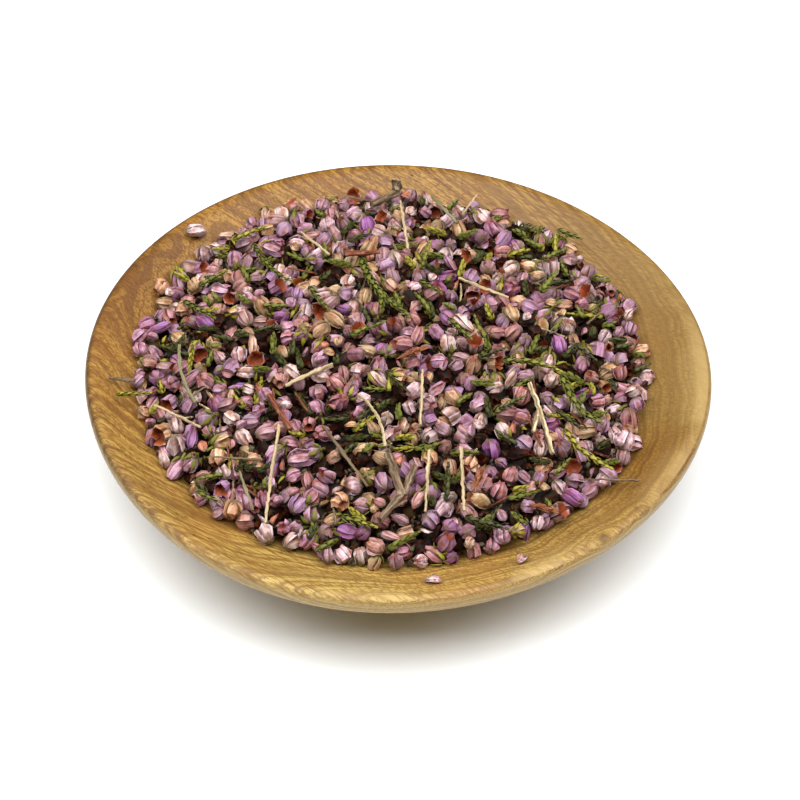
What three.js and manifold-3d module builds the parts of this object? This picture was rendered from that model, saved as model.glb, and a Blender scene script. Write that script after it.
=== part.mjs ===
// A shallow turned wooden bowl, heaped with loose dried heather flowers.
// Millimetres, +Z up. The origin is the centre of the bowl's flat foot.
// +X is the right-hand side of the bowl and +Y its back.
import * as THREE from 'three';
import { mergeVertices } from 'three/addons/utils/BufferGeometryUtils.js';
import Module from 'manifold-3d';

// Bowl
const RIM_HEIGHT = 25;
const RIM_RADIUS = 65.3;
const FOOT_RADIUS = 27;
const FOOT_ROUND = 1.2;
const BAND_BOTTOM = 20.8;
const BAND_TOP = 23.6;
const BAND_INSET = 0.7;
const HOLLOW_DEPTH = 15;
const HOLLOW_RADIUS = 63;
const LIP_INSIDE = 61.6;
const BOWL_SIDES = 72;
const BOWL_CURVE_STEPS = 5;

// How far the rim strays from a true circle: [waves round the rim, size, direction in degrees]
const RIM_WAVES = [
  [1, 0.56, 147],
  [2, 0.61, -35],
  [3, 0.48, 30],
  [4, 0.22, -48],
];

// Heap of loose flowers
const HEAP_CENTRE = [-1.3, 1.3];
const HEAP_RADIUS = 55.5;
const HEAP_TOP = 32;
const HEAP_EDGE_HEIGHT = 24.8;
const HEAP_SIDES = 48;
const HEAP_RINGS = 8;

// Clearance between a piece and what it lies on
const GAP = 0.3;
// Spacing of the points at which a lying piece follows its seat, and reach of a slope measure
const SEAT_STEP = 4;
const SLOPE_REACH = 0.5;

// Leafy sprigs
const LEAF_PITCH = 1.7;
const LEAF_CORNERS = 8;
const LEAF_HOLLOW = 0.7;
const SPRIG_TIP = 0.6;
const SPRIG_STALK = 0.5;

// Each sprig: width, then its points [x, y] or [x, y, z], from the cut stalk to the tip
const SPRIGS = {
  sprig_centre_back: [2.3, [-8, 24], [-4.5, 13.5], [2.5, 4.5]],
  sprig_back_left: [2.1, [-19, 15], [-14.5, 7]],
  sprig_centre_short: [2.0, [-10, -0.5], [-2.5, 3.5]],
  sprig_back_upright: [2.1, [5, 20.5], [7, 31]],
  sprig_back_low: [1.9, [4.5, 16.5], [9.5, 12.5]],
  sprig_centre_right: [2.1, [10.5, 4.5], [15.5, -1.5]],
  sprig_left_back_long: [2.2, [-32, 32], [-27.5, 22.5], [-22.5, 17]],
  sprig_left_back_pale: [2.0, [-36.5, 35], [-29, 39.5]],
  sprig_left: [2.3, [-46, 14.5], [-38.5, 7.5]],
  sprig_left_high: [2.1, [-43, 19.5], [-37, 23.5]],
  sprig_right_back: [2.0, [35.5, 39.5], [41, 37]],
  sprig_right_back_long: [2.1, [31.5, 27], [37.5, 32.5]],
  sprig_right_bushy: [2.6, [30.5, 15], [34.5, 23]],
  sprig_right_middle: [2.1, [21.5, -7], [27.5, -6.5], [34, -8.5]],
  sprig_right_dark: [1.9, [16.5, -6.5], [22.5, -3]],
  sprig_right_side: [2.0, [37, 0], [41.5, -4]],
  sprig_right_long: [2.3, [33.5, -9.5], [37, -18], [41.5, -21]],
  sprig_right_front_long: [2.5, [33.5, -24], [38, -29.5], [43, -32]],
  sprig_right_front_dark: [1.9, [32.3, -19.3], [37.5, -23]],
  sprig_right_front_low: [2.0, [31, -35], [34.5, -30.5]],
  sprig_centre_front_right: [2.2, [20.5, -20], [26, -16]],
  sprig_front_edge: [2.3, [13, -46], [21.5, -48]],
  sprig_centre: [2.0, [-2.5, -11], [2.5, -17]],
  sprig_front_middle: [2.1, [9.5, -42.5], [10, -33.5]],
  sprig_front_bright: [2.3, [-11, -46], [-4, -48.5]],
  sprig_left_yellow: [1.9, [-43, 0.5], [-43.3, -8]],
  sprig_left_front_edge: [2.1, [-40, -38], [-35, -41]],
  sprig_left_wall: [1.8, [-58.5, -10, 24.9], [-50.5, -12, 27.7]],
};
const SPRIG_SIDE_SHOOTS = {
  sprig_centre_back: [1.9, [-3.2, 12.5], [-3.5, 6.5]],
  sprig_right_long: [1.9, [36.5, -17], [39, -12.5]],
};

// Straws: thickness, then points
const STRAW_SIDES = 8;
const STRAW_STEP = 3.5;
const STRAWS = {
  straw_back_upright: [0.8, [0.5, 48.5], [2, 28.5]],
  straw_back_left: [0.7, [-21.5, 36.5], [-15, 27]],
  straw_back_green: [0.9, [7.5, 51], [13, 39.5]],
  straw_back_right: [0.7, [18, 53], [14.5, 43.5]],
  straw_right_back: [0.8, [13, 18.5], [23.5, 13]],
  straw_centre_thick: [1.2, [-23, -13.5], [-13.5, -8.5]],
  straw_centre_bent: [0.8, [-8, -16.5], [-4, -22.5], [-2.8, -26], [-2.8, -29.5]],
  straw_centre_upright: [0.9, [5, -10], [4.5, -24.5]],
  straw_centre_grey: [1.0, [-15, -24.5], [-6, -39]],
  straw_front_middle: [0.9, [6.3, -30.5], [5.3, -44.5]],
  straw_front_right: [0.9, [12.5, -29.5], [13, -44]],
  straw_left_pale: [0.8, [-50, -14.5], [-40, -22]],
  straw_left_green: [1.0, [-46, 1.5], [-45, -7], [-41.5, -15.5]],
  straw_front_long: [0.9, [-24, -23.5], [-26, -46]],
  straw_front_green: [0.8, [-31.5, -34], [-28.5, -43]],
  straw_left_grey: [0.6, [-38, -29.5], [-27, -31.5]],
  straw_right_thin: [0.6, [36, -35, 26.6], [48.5, -33, 24.2]],
  straw_on_left_rim: [1.0, [-60.5, -4.5, 24.6], [-54.8, -7.2, 26.3]],
};

// Woody twigs: thickness at the thick end and at the thin end, then the points of each arm
const TWIGS = {
  twig_forked: [
    [1.8, 1.6, [-2, -32], [1, -41.5]],
    [1.3, 1.1, [3.4, -34.5], [1.2, -41]],
    [1.6, 1.2, [0.8, -41], [-3.5, -46.5]],
  ],
  twig_left_red: [[1.6, 1.1, [-26.2, -16], [-21.5, -25]]],
  twig_back_red: [[1.5, 1.1, [-11.5, 26.3], [-4, 27]]],
  twig_back_grey: [
    [1.5, 1.2, [-6, 46.5], [0.5, 52.5]],
    [1.4, 1.2, [-0.8, 51.3, 26.8], [-1.5, 54.5, 32.5]],
  ],
  twig_right_forked: [
    [1.0, 0.8, [27, -12], [29, -20], [31, -29.5]],
    [0.8, 0.7, [28.6, -18.5], [27.2, -24.5]],
  ],
};
const TWIG_SIDES = 8;
const TWIG_STEP = 3;

// Thin chips of bark and loose petals: width, thickness, then the two ends
const CHIPS = {
  bark_chip_orange: [3.2, 0.6, [17.5, -33], [14.5, -39.5]],
  bark_chip_centre: [2.6, 0.5, [-0.5, -7], [6.5, -3.5]],
  bark_chip_right: [2.4, 0.5, [25.5, -41.5], [32, -43]],
  loose_petal_front: [1.8, 0.4, [5, -58.6], [8.6, -58.9]],
  loose_petal_right: [1.6, 0.4, [23.2, -54.6], [25, -52]],
};
const CHIP_CURVE_STEPS = 4;

// The one flower that lies on the bare wood, and its size
const LONE_FLOWER_AT = [-45.3, 40.6];
const LONE_FLOWER_WIDTH = 3.4;
const LONE_FLOWER_LENGTH = 4.2;
const LONE_FLOWER_HEADING = 200;

const wasm = await Module();
wasm.setup();

const radians = THREE.MathUtils.degToRad;
const hollowSphere = (HOLLOW_RADIUS ** 2 + HOLLOW_DEPTH ** 2) / (2 * HOLLOW_DEPTH);
const hollowCentreHeight = RIM_HEIGHT - HOLLOW_DEPTH + hollowSphere;

// The rim's distance from the axis in a direction, as a share of a true circle's
function rimStretch(angle) {
  let radius = RIM_RADIUS;
  for (const [waves, size, direction] of RIM_WAVES) {
    radius += size * Math.cos(waves * angle - radians(direction));
  }
  return radius / RIM_RADIUS;
}

// The bowl is truly round at its foot and follows the rim's outline at its rim
function bowlStretch(x, y) {
  const share = (Math.hypot(x, y) / RIM_RADIUS) ** 4;
  return 1 + (rimStretch(Math.atan2(y, x)) - 1) * share;
}

// Height of the bowl's inner surface
function hollowHeight(x, y) {
  const distance = Math.hypot(x, y) / bowlStretch(x, y);
  return hollowCentreHeight - Math.sqrt(hollowSphere ** 2 - distance ** 2);
}

function distanceFromHeapCentre(x, y) {
  return Math.hypot(x - HEAP_CENTRE[0], y - HEAP_CENTRE[1]);
}

// Height of the top of the heap at a point, as a low dome
function heapHeight(x, y) {
  const share = distanceFromHeapCentre(x, y) / HEAP_RADIUS;
  return HEAP_TOP - (HEAP_TOP - HEAP_EDGE_HEIGHT) * share ** 2;
}

// Height at which a loose piece of the given radius has its centre, clear of what carries it:
// the heap, or the bare wood round the heap
function seatHeight(x, y, radius) {
  const height = distanceFromHeapCentre(x, y) < HEAP_RADIUS ? heapHeight : hollowHeight;
  const slopeX = (height(x + SLOPE_REACH, y) - height(x - SLOPE_REACH, y)) / (2 * SLOPE_REACH);
  const slopeY = (height(x, y + SLOPE_REACH) - height(x, y - SLOPE_REACH)) / (2 * SLOPE_REACH);
  return height(x, y) + (radius + GAP) * Math.hypot(slopeX, slopeY, 1);
}

// A curve through plan points [x, y] that follows what it lies on.
// Where the points have heights of their own, [x, y, z], it goes straight through them.
function seatedCurve(points, radius) {
  const given = points.map(([x, y, z]) => new THREE.Vector3(x, y, z ?? 0));
  const curve = new THREE.CatmullRomCurve3(given);
  if (points[0].length === 3) {
    return curve;
  }
  const steps = Math.max(2, Math.round(curve.getLength() / SEAT_STEP));
  const onSeat = curve.getSpacedPoints(steps);
  for (const point of onSeat) {
    point.z = seatHeight(point.x, point.y, radius);
  }
  return new THREE.CatmullRomCurve3(onSeat);
}

// Moves every vertex of a geometry by a function of its position
function reshape(geometry, move) {
  const position = geometry.attributes.position;
  const vertex = new THREE.Vector3();
  for (let i = 0; i < position.count; i += 1) {
    vertex.fromBufferAttribute(position, i);
    move(vertex);
    position.setXYZ(i, vertex.x, vertex.y, vertex.z);
  }
  return geometry;
}

// A revolved outline of [distance from the axis, height] points, stood on the Z axis
function revolve(outline, sides) {
  return new THREE.LatheGeometry(outline, sides).rotateX(Math.PI / 2);
}

// Bends a shape that stands on the Z axis along a curve of the same length
function layAlong(geometry, curve) {
  const length = curve.getLength();
  const up = new THREE.Vector3(0, 0, 1);
  return reshape(geometry, (vertex) => {
    const share = THREE.MathUtils.clamp(vertex.z / length, 0, 1);
    const centre = curve.getPointAt(share);
    const along = curve.getTangentAt(share);
    const side = new THREE.Vector3().crossVectors(up, along).normalize();
    const lift = new THREE.Vector3().crossVectors(along, side);
    centre.addScaledVector(side, vertex.x).addScaledVector(lift, vertex.y);
    vertex.copy(centre);
  });
}

// Joins closed geometries into one solid
function union(geometries) {
  const solids = geometries.map((geometry) => {
    geometry.deleteAttribute('normal');
    geometry.deleteAttribute('uv');
    const merged = mergeVertices(geometry, 1e-4);
    const vertProperties = new Float32Array(merged.attributes.position.array);
    const triVerts = new Uint32Array(merged.index.array);
    return new wasm.Manifold(new wasm.Mesh({ numProp: 3, vertProperties, triVerts }));
  });
  const joined = solids.reduce((whole, next) => whole.add(next));
  const mesh = joined.getMesh();
  const geometry = new THREE.BufferGeometry();
  geometry.setAttribute('position', new THREE.BufferAttribute(mesh.vertProperties, 3));
  geometry.setIndex(new THREE.BufferAttribute(mesh.triVerts, 1));
  geometry.computeVertexNormals();
  return geometry;
}

function bowl() {
  const lipInsideHeight = hollowCentreHeight - Math.sqrt(hollowSphere ** 2 - LIP_INSIDE ** 2);
  const lipAngle = Math.atan2(lipInsideHeight - hollowCentreHeight, LIP_INSIDE);
  const outline = new THREE.Path();
  outline.moveTo(0, 0);
  outline.lineTo(FOOT_RADIUS, 0);
  outline.quadraticCurveTo(FOOT_RADIUS + FOOT_ROUND, 0, FOOT_RADIUS + 1.6 * FOOT_ROUND, FOOT_ROUND);
  outline.quadraticCurveTo(50, 8, RIM_RADIUS - BAND_INSET, BAND_BOTTOM);
  outline.quadraticCurveTo(RIM_RADIUS, BAND_BOTTOM + 1, RIM_RADIUS, BAND_TOP);
  outline.bezierCurveTo(RIM_RADIUS, RIM_HEIGHT, 63.6, RIM_HEIGHT + 0.25, LIP_INSIDE, lipInsideHeight);
  outline.absarc(0, hollowCentreHeight, hollowSphere, lipAngle, -Math.PI / 2, true);
  const points = outline.getPoints(BOWL_CURVE_STEPS);
  points[points.length - 1].x = 0;
  return reshape(revolve(points, BOWL_SIDES), (vertex) => {
    const stretch = bowlStretch(vertex.x, vertex.y);
    vertex.x *= stretch;
    vertex.y *= stretch;
  });
}

// The packed flowers as one lens: its underside follows the hollow, its top is the dome
function heap() {
  const outline = [];
  for (let ring = 0; ring <= HEAP_RINGS; ring += 1) {
    outline.push(new THREE.Vector2((HEAP_RADIUS * ring) / HEAP_RINGS, 0));
  }
  for (let ring = HEAP_RINGS; ring >= 0; ring -= 1) {
    outline.push(new THREE.Vector2((HEAP_RADIUS * ring) / HEAP_RINGS, 1));
  }
  return reshape(revolve(outline, HEAP_SIDES), (vertex) => {
    vertex.x += HEAP_CENTRE[0];
    vertex.y += HEAP_CENTRE[1];
    const underside = hollowHeight(vertex.x, vertex.y) + GAP;
    vertex.z = vertex.z > 0.5 ? heapHeight(vertex.x, vertex.y) : underside;
  });
}

// A shoot whose scale leaves stand in rings, each ring wider at its top than at its foot.
// Rings turn by one corner from one to the next, as the real leaves cross in pairs.
function leafyShoot(width, points) {
  const curve = seatedCurve(points, width / 2);
  const length = curve.getLength();
  const rings = Math.max(3, Math.round(length / LEAF_PITCH));
  const pitch = length / rings;
  const outline = [new THREE.Vector2(0, 0)];
  for (let ring = 0; ring < rings; ring += 1) {
    const taper = THREE.MathUtils.lerp(1, SPRIG_TIP, ring / rings);
    const foot = ring === 0 ? SPRIG_STALK : 0.62 * taper;
    outline.push(new THREE.Vector2((foot * width) / 2, ring * pitch));
    outline.push(new THREE.Vector2((taper * width) / 2, (ring + 0.8) * pitch));
  }
  outline.push(new THREE.Vector2(0, length));
  const shoot = reshape(revolve(outline, LEAF_CORNERS), (vertex) => {
    const corner = Math.round((Math.atan2(vertex.y, vertex.x) / Math.PI) * (LEAF_CORNERS / 2));
    const ring = Math.round(vertex.z / pitch);
    const hollow = (corner + ring) % 2 === 0 ? 1 : LEAF_HOLLOW;
    vertex.x *= hollow;
    vertex.y *= hollow;
  });
  return layAlong(shoot, curve);
}

function sprig(name) {
  const [width, ...points] = SPRIGS[name];
  const shoot = leafyShoot(width, points);
  if (!SPRIG_SIDE_SHOOTS[name]) {
    return shoot;
  }
  const [sideWidth, ...sidePoints] = SPRIG_SIDE_SHOOTS[name];
  return union([shoot, leafyShoot(sideWidth, sidePoints)]);
}

function straw(thickness, points) {
  const curve = seatedCurve(points, thickness / 2);
  const section = new THREE.Shape();
  section.absarc(0, 0, thickness / 2, 0, 2 * Math.PI);
  return new THREE.ExtrudeGeometry(section, {
    steps: Math.max(2, Math.round(curve.getLength() / STRAW_STEP)),
    curveSegments: STRAW_SIDES / 2,
    extrudePath: curve,
  });
}

// One arm of a twig: round, thinner towards its far end
function twigArm([thick, thin, ...points]) {
  const curve = seatedCurve(points, thick / 2);
  const length = curve.getLength();
  const steps = Math.max(2, Math.round(length / TWIG_STEP));
  const outline = [new THREE.Vector2(0, 0)];
  for (let step = 0; step <= steps; step += 1) {
    const share = step / steps;
    outline.push(new THREE.Vector2(THREE.MathUtils.lerp(thick, thin, share) / 2, share * length));
  }
  outline.push(new THREE.Vector2(0, length));
  return layAlong(revolve(outline, TWIG_SIDES), curve);
}

function twig(arms) {
  const limbs = arms.map(twigArm);
  return limbs.length === 1 ? limbs[0] : union(limbs);
}

// A thin leaf-shaped chip that follows the surface it lies on
function chip(width, thickness, start, end) {
  const span = Math.hypot(end[0] - start[0], end[1] - start[1]);
  const outline = new THREE.Shape();
  outline.moveTo(0, 0);
  outline.quadraticCurveTo(span / 2, -width, span, 0);
  outline.quadraticCurveTo(span / 2, width, 0, 0);
  const flat = new THREE.ExtrudeGeometry(outline, {
    depth: thickness,
    bevelEnabled: false,
    curveSegments: CHIP_CURVE_STEPS,
  });
  flat.rotateZ(Math.atan2(end[1] - start[1], end[0] - start[0]));
  flat.translate(start[0], start[1], 0);
  return reshape(flat, (vertex) => {
    vertex.z += seatHeight(vertex.x, vertex.y, 0);
  });
}

// A closed flower of four sepals, lying on its side
function flowerBud(at, heading, width, length) {
  const outline = new THREE.Path();
  outline.moveTo(0, 0);
  outline.bezierCurveTo(width * 0.66, length * 0.1, width * 0.62, length * 0.8, 0, length);
  const bud = reshape(revolve(outline.getPoints(8), 16), (vertex) => {
    const angle = Math.atan2(vertex.y, vertex.x);
    const lobe = 1 - 0.06 * (1 - Math.cos(4 * angle));
    vertex.x *= lobe;
    vertex.y *= lobe;
  });
  const reach = length / 2;
  const direction = [Math.cos(radians(heading)), Math.sin(radians(heading))];
  const start = [at[0] - reach * direction[0], at[1] - reach * direction[1]];
  const end = [at[0] + reach * direction[0], at[1] + reach * direction[1]];
  return layAlong(bud, seatedCurve([start, end], width / 2));
}

const FINISHES = {
  teak: { color: 0xc09050, roughness: 0.5 },
  dried_flowers: { color: 0x9a7090, roughness: 0.8 },
  flower: { color: 0xc8a0c0, roughness: 0.7 },
  leaf: { color: 0x6c7a2a, roughness: 0.7 },
  straw: { color: 0xd8c090, roughness: 0.6 },
  bark: { color: 0x6a4a34, roughness: 0.85 },
};

const group = new THREE.Group();

function addPiece(name, geometry, finish) {
  const material = new THREE.MeshStandardMaterial({ ...FINISHES[finish], metalness: 0 });
  const mesh = new THREE.Mesh(geometry, material);
  mesh.name = name;
  group.add(mesh);
}

addPiece('bowl', bowl(), 'teak');
addPiece('heap', heap(), 'dried_flowers');
for (const name of Object.keys(SPRIGS)) {
  addPiece(name, sprig(name), 'leaf');
}
for (const [name, [thickness, ...points]] of Object.entries(STRAWS)) {
  addPiece(name, straw(thickness, points), 'straw');
}
for (const [name, arms] of Object.entries(TWIGS)) {
  addPiece(name, twig(arms), 'bark');
}
for (const [name, [width, thickness, start, end]] of Object.entries(CHIPS)) {
  addPiece(name, chip(width, thickness, start, end), name.startsWith('bark') ? 'bark' : 'flower');
}
const loneFlower = flowerBud(
  LONE_FLOWER_AT, LONE_FLOWER_HEADING, LONE_FLOWER_WIDTH, LONE_FLOWER_LENGTH);
addPiece('lone_flower', loneFlower, 'flower');

export default group;
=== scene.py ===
# A shallow turned wooden bowl, heaped with loose dried heather flowers.
# Lengths named _MM and all heap maths are in millimetres; finished meshes are in metres.
# +Z is up, +X the bowl's right-hand side and +Y its back. The origin is the centre of its foot.
import math
import random

import bpy
import numpy as np
from bpy.props import FloatProperty, FloatVectorProperty, PointerProperty
from mathutils import Euler, Matrix, Quaternion, Vector


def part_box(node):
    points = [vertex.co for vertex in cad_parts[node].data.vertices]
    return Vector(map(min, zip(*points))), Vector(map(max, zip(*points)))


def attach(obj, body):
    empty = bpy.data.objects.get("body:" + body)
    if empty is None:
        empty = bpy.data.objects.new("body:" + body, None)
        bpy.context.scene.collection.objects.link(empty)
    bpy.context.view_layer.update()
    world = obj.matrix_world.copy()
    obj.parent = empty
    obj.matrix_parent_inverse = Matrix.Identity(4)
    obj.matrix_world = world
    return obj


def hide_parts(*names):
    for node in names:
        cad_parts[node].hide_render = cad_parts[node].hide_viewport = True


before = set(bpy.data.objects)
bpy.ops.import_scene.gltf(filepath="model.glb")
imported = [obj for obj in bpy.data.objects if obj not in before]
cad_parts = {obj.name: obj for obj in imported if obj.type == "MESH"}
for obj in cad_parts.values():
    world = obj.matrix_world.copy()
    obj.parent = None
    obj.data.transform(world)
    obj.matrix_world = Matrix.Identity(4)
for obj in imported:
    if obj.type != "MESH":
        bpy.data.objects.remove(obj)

bl_info = {
    "name": "Bowl of Dried Heather",
    "version": (1, 0, 0),
    "blender": (4, 5, 0),
    "location": "View3D > Sidebar > Heather",
    "description": "Builds a turned wooden bowl filled with loose dried heather flowers",
    "category": "Add Mesh",
}

MM = 0.001
SEED = 7
PATTERN_MAP = "pattern"
# The export keeps a UV map of this name, so that copies of one look can share its texture
SHARED_MAP = "OFBake"

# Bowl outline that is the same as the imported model's
FOOT_ROUND_MM = 1.2
BAND_BOTTOM_MM = 20.8
BAND_TOP_MM = 23.6
BAND_INSET_MM = 0.7
HOLLOW_RADIUS_MM = 63.0
LIP_INSIDE_MM = 61.6
# How far the rim strays from a true circle: [waves round the rim, size, direction in degrees]
RIM_WAVES = ((1, 0.56, 147), (2, 0.61, -35), (3, 0.48, 30), (4, 0.22, -48))
# Steps round the bowl, and along each curve of its outline
BOWL_STEPS = 216
CURVE_STEPS = 14

# Middle of the heap, and the gap under the pieces that rest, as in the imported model
HEAP_CENTRE_MM = (-1.3, 1.3)
CLEARANCE_MM = 0.3
# The heap's core, dark as painted shade: how far under the dome it ends, and its radius
CORE_DEPTH_MM = 5.2
CORE_RADIUS_MM = 50


def colour(red, green, blue):
    """Linear colour of an sRGB one whose channels go from 0 to 255."""
    linear = []
    for channel in (red, green, blue):
        share = channel / 255
        linear.append(share / 12.92 if share <= 0.04045 else ((share + 0.055) / 1.055) ** 2.4)
    return tuple(linear)


def colour_property(name, description, default):
    return FloatVectorProperty(
        name=name, description=description, default=default, size=3, min=0, max=1, subtype="COLOR")


def length_property(name, description, default_mm):
    return FloatProperty(
        name=name, description=description, default=default_mm * MM, min=0, unit="LENGTH")


class BowlSettings(bpy.types.PropertyGroup):
    rim_radius: length_property("Rim radius", "Distance from the axis to the rim", 65.3)
    rim_height: length_property("Rim height", "Height of the rim over the table", 25)
    foot_radius: length_property("Foot radius", "Radius of the flat foot", 27)
    hollow_depth: length_property("Hollow depth", "Depth of the hollow under the rim", 15)
    wood: colour_property("Wood", "Colour of the wood between its rings", colour(150, 117, 56))
    ring: colour_property("Rings", "Colour of the darkest rings", colour(100, 68, 29))
    light_ring: colour_property("Light rings", "Colour of the palest rings", colour(163, 135, 70))
    # Colour of pores and knots, also used for the painted shadow along the rim's outer edge on the
    # back-left side
    pore_and_brink_shadow: colour_property("Pores", "Colour of pores and knots", colour(44, 25, 12))
    grey: colour_property("Grey cast", "Cast of the weathered side", colour(110, 84, 40))
    amber: colour_property("Amber cast", "Cast of the resinous patches", colour(140, 87, 33))
    # Paler wood: laid on the patchy paler lip of the front-right side, and on the outside as partly
    # painted light that brightens the band under the lip
    pale_wood_and_painted_light: colour_property("Worn wood", "Colour of the outside and the worn lip", colour(174, 148, 96))


class HeapSettings(bpy.types.PropertyGroup):
    radius: length_property("Radius", "Radius of the heap", 55.5)
    top: length_property("Top", "Height of the middle of the heap", 32)
    edge: length_property("Edge", "Height of the heap's edge", 24.8)
    lilac: colour_property("Lilac", "Most of the flowers", colour(137, 97, 125))
    pale: colour_property("Pale", "Bleached flowers", colour(176, 152, 154))
    rose: colour_property("Rose", "Faded pink flowers", colour(143, 87, 90))
    violet: colour_property("Violet", "Freshest flowers", colour(115, 62, 122))
    cream: colour_property("Cream", "Flowers that dried to cream", colour(160, 124, 78))
    peach: colour_property("Peach", "Stains on the flowers", colour(172, 108, 66))
    rust: colour_property("Rust", "Inside of opened flowers", colour(158, 76, 37))
    # Painted shade: the near-black colour of the flowers covered low in the heap, and of the core
    deep: colour_property("Deep", "Flowers deep in the heap", colour(27, 14, 6))


class GreenSettings(bpy.types.PropertyGroup):
    leaf_pitch: length_property("Leaf pitch", "Distance from one pair of leaves to the next", 0.95)
    green: colour_property("Green", "Most leaves", colour(90, 92, 28))
    dark_green: colour_property("Dark green", "Shaded and older leaves", colour(55, 57, 19))
    yellow_green: colour_property("Yellow green", "Young leaves and tips", colour(130, 122, 34))


class DryStalkSettings(bpy.types.PropertyGroup):
    straw: colour_property("Straw", "Pale dry stalks", colour(184, 162, 124))
    green_straw: colour_property("Green straw", "Stalks that dried green", colour(124, 118, 84))
    bark: colour_property("Bark", "Grey-brown twigs", colour(108, 88, 66))
    red_bark: colour_property("Red bark", "Red-brown twigs", colour(116, 62, 38))
    orange_bark: colour_property("Orange bark", "Chips of inner bark", colour(126, 72, 40))


class StageSettings(bpy.types.PropertyGroup):
    floor: colour_property("Floor", "Colour of the table", (0.855, 0.88, 0.9))
    sky_strength: FloatProperty(
        name="Sky strength", description="Light from all round", default=0.07, min=0)
    lamp_power: FloatProperty(
        name="Lamp power", description="Power of the overhead lamp", default=14.5, min=0, unit="POWER")
    lamp_distance: length_property("Lamp distance", "From the overhead lamp to the bowl", 600)
    lamp_width: length_property("Lamp width", "Side of the lamp from left to right", 1400)
    lamp_depth: length_property("Lamp depth", "Side of the lamp from front to back", 600)
    lamp_tilt: FloatProperty(
        name="Lamp tilt", description="How far the lamp leans to the front of the bowl",
        default=math.radians(6), subtype="ANGLE", unit="ROTATION")
    camera_elevation: FloatProperty(
        name="Camera elevation", description="Angle at which the camera looks down",
        default=math.radians(46), subtype="ANGLE", unit="ROTATION")
    camera_distance: length_property("Camera distance", "From the camera to its target", 450)
    lens: FloatProperty(
        name="Lens", description="Focal length in millimetres of the camera", default=97.8, min=1)


# Heights of the bowl and the heap


def hollow_sphere():
    """Radius in millimetres of the sphere that the hollow is part of, and its centre's height."""
    bowl = bpy.context.scene.heather_bowl
    depth = bowl.hollow_depth / MM
    radius = (HOLLOW_RADIUS_MM ** 2 + depth ** 2) / (2 * depth)
    return radius, bowl.rim_height / MM - depth + radius


def bowl_stretch(x, y):
    """How far the bowl is stretched from a round one at a point, as a share."""
    rim = bpy.context.scene.heather_bowl.rim_radius / MM
    angle = np.arctan2(y, x)
    waves = sum(size * np.cos(count * angle - math.radians(turn)) for count, size, turn in RIM_WAVES)
    return 1 + (waves / rim) * (np.hypot(x, y) / rim) ** 4


def hollow_height(x, y):
    """Height in millimetres of the bowl's inner surface."""
    radius, centre = hollow_sphere()
    distance = np.hypot(x, y) / bowl_stretch(x, y)
    return centre - np.sqrt(radius ** 2 - distance ** 2)


def from_heap_centre(x, y):
    return np.hypot(x - HEAP_CENTRE_MM[0], y - HEAP_CENTRE_MM[1])


def dome_height(x, y):
    """Height in millimetres of the top of the heap, as a low dome."""
    heap = bpy.context.scene.heather_heap
    share = from_heap_centre(x, y) / (heap.radius / MM)
    return heap.top / MM - (heap.top - heap.edge) / MM * share ** 2


# Mesh helpers


def deselect_all():
    bpy.ops.object.select_all(action="DESELECT")


def shaped_grid(name, columns, rows, place, smooth_angle=50):
    """A closed mesh from a grid: place(column, row) gives each point in metres.

    Column 0 meets the last column, and the first and last row are one point each.
    """
    deselect_all()
    bpy.ops.mesh.primitive_grid_add(x_subdivisions=columns, y_subdivisions=rows, size=1)
    piece = bpy.context.object
    piece.name = name
    mesh = piece.data
    mesh.name = name
    cells = [
        (round((vertex.co.x + 0.5) * columns), round((vertex.co.y + 0.5) * rows))
        for vertex in mesh.vertices
    ]
    pattern = mesh.uv_layers[0]
    pattern.name = PATTERN_MAP
    for loop in mesh.loops:
        column, row = cells[loop.vertex_index]
        pattern.data[loop.index].uv = (column / columns, row / rows)
    for vertex, (column, row) in zip(mesh.vertices, cells):
        vertex.co = place(column % columns, row)
    bpy.ops.object.mode_set(mode="EDIT")
    bpy.ops.mesh.select_all(action="SELECT")
    bpy.ops.mesh.remove_doubles(threshold=0.002 * MM)
    bpy.ops.mesh.normals_make_consistent(inside=False)
    bpy.ops.object.mode_set(mode="OBJECT")
    bpy.ops.object.shade_smooth_by_angle(angle=math.radians(smooth_angle))
    return piece


def ring_point(centre, along, up, around, radius):
    """A point at a turn round a line, with its direction and an up direction near it."""
    side = up.cross(along).normalized()
    lift = along.cross(side).normalized()
    return centre + side * (math.cos(around) * radius) + lift * (math.sin(around) * radius)


def smooth_path(points, count):
    """Points at even steps along a smooth curve through a few points."""
    points = [Vector(point) for point in points]
    first = points[0] * 2 - points[1]
    last = points[-1] * 2 - points[-2]
    guide = [first, *points, last]
    fine = []
    for a, b, c, d in zip(guide, guide[1:], guide[2:], guide[3:]):
        for step in range(12):
            t = step / 12
            fine.append(0.5 * (
                2 * b + (c - a) * t + (2 * a - 5 * b + 4 * c - d) * t ** 2
                + (3 * b - a - 3 * c + d) * t ** 3))
    fine.append(points[-1].copy())
    travelled = [0.0]
    for before, after in zip(fine, fine[1:]):
        travelled.append(travelled[-1] + (after - before).length)
    return [
        Vector([
            np.interp(travelled[-1] * step / (count - 1), travelled, [point[axis] for point in fine])
            for axis in range(3)
        ])
        for step in range(count)
    ]


def directions(path):
    """Direction of a path at each of its points."""
    ends = [path[0], *path, path[-1]]
    return [(after - before).normalized() for before, after in zip(ends, ends[2:])]


def tube(name, path, radius, sides=10, smooth_angle=60):
    """A closed round bar along a path, whose radius(share, around) may vary."""
    along = directions(path)
    rows = len(path) + 1
    up = Vector((0, 0, 1))
    if abs(along[0].z) > 0.8:
        up = Vector((0, 1, 0))

    def place(column, row):
        index = min(max(row - 1, 0), len(path) - 1)
        if row in (0, rows):
            return path[index]
        around = 2 * math.pi * column / sides
        share = index / (len(path) - 1)
        return ring_point(path[index], along[index], up, around, radius(share, around))

    return shaped_grid(name, sides, rows, place, smooth_angle)


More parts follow.
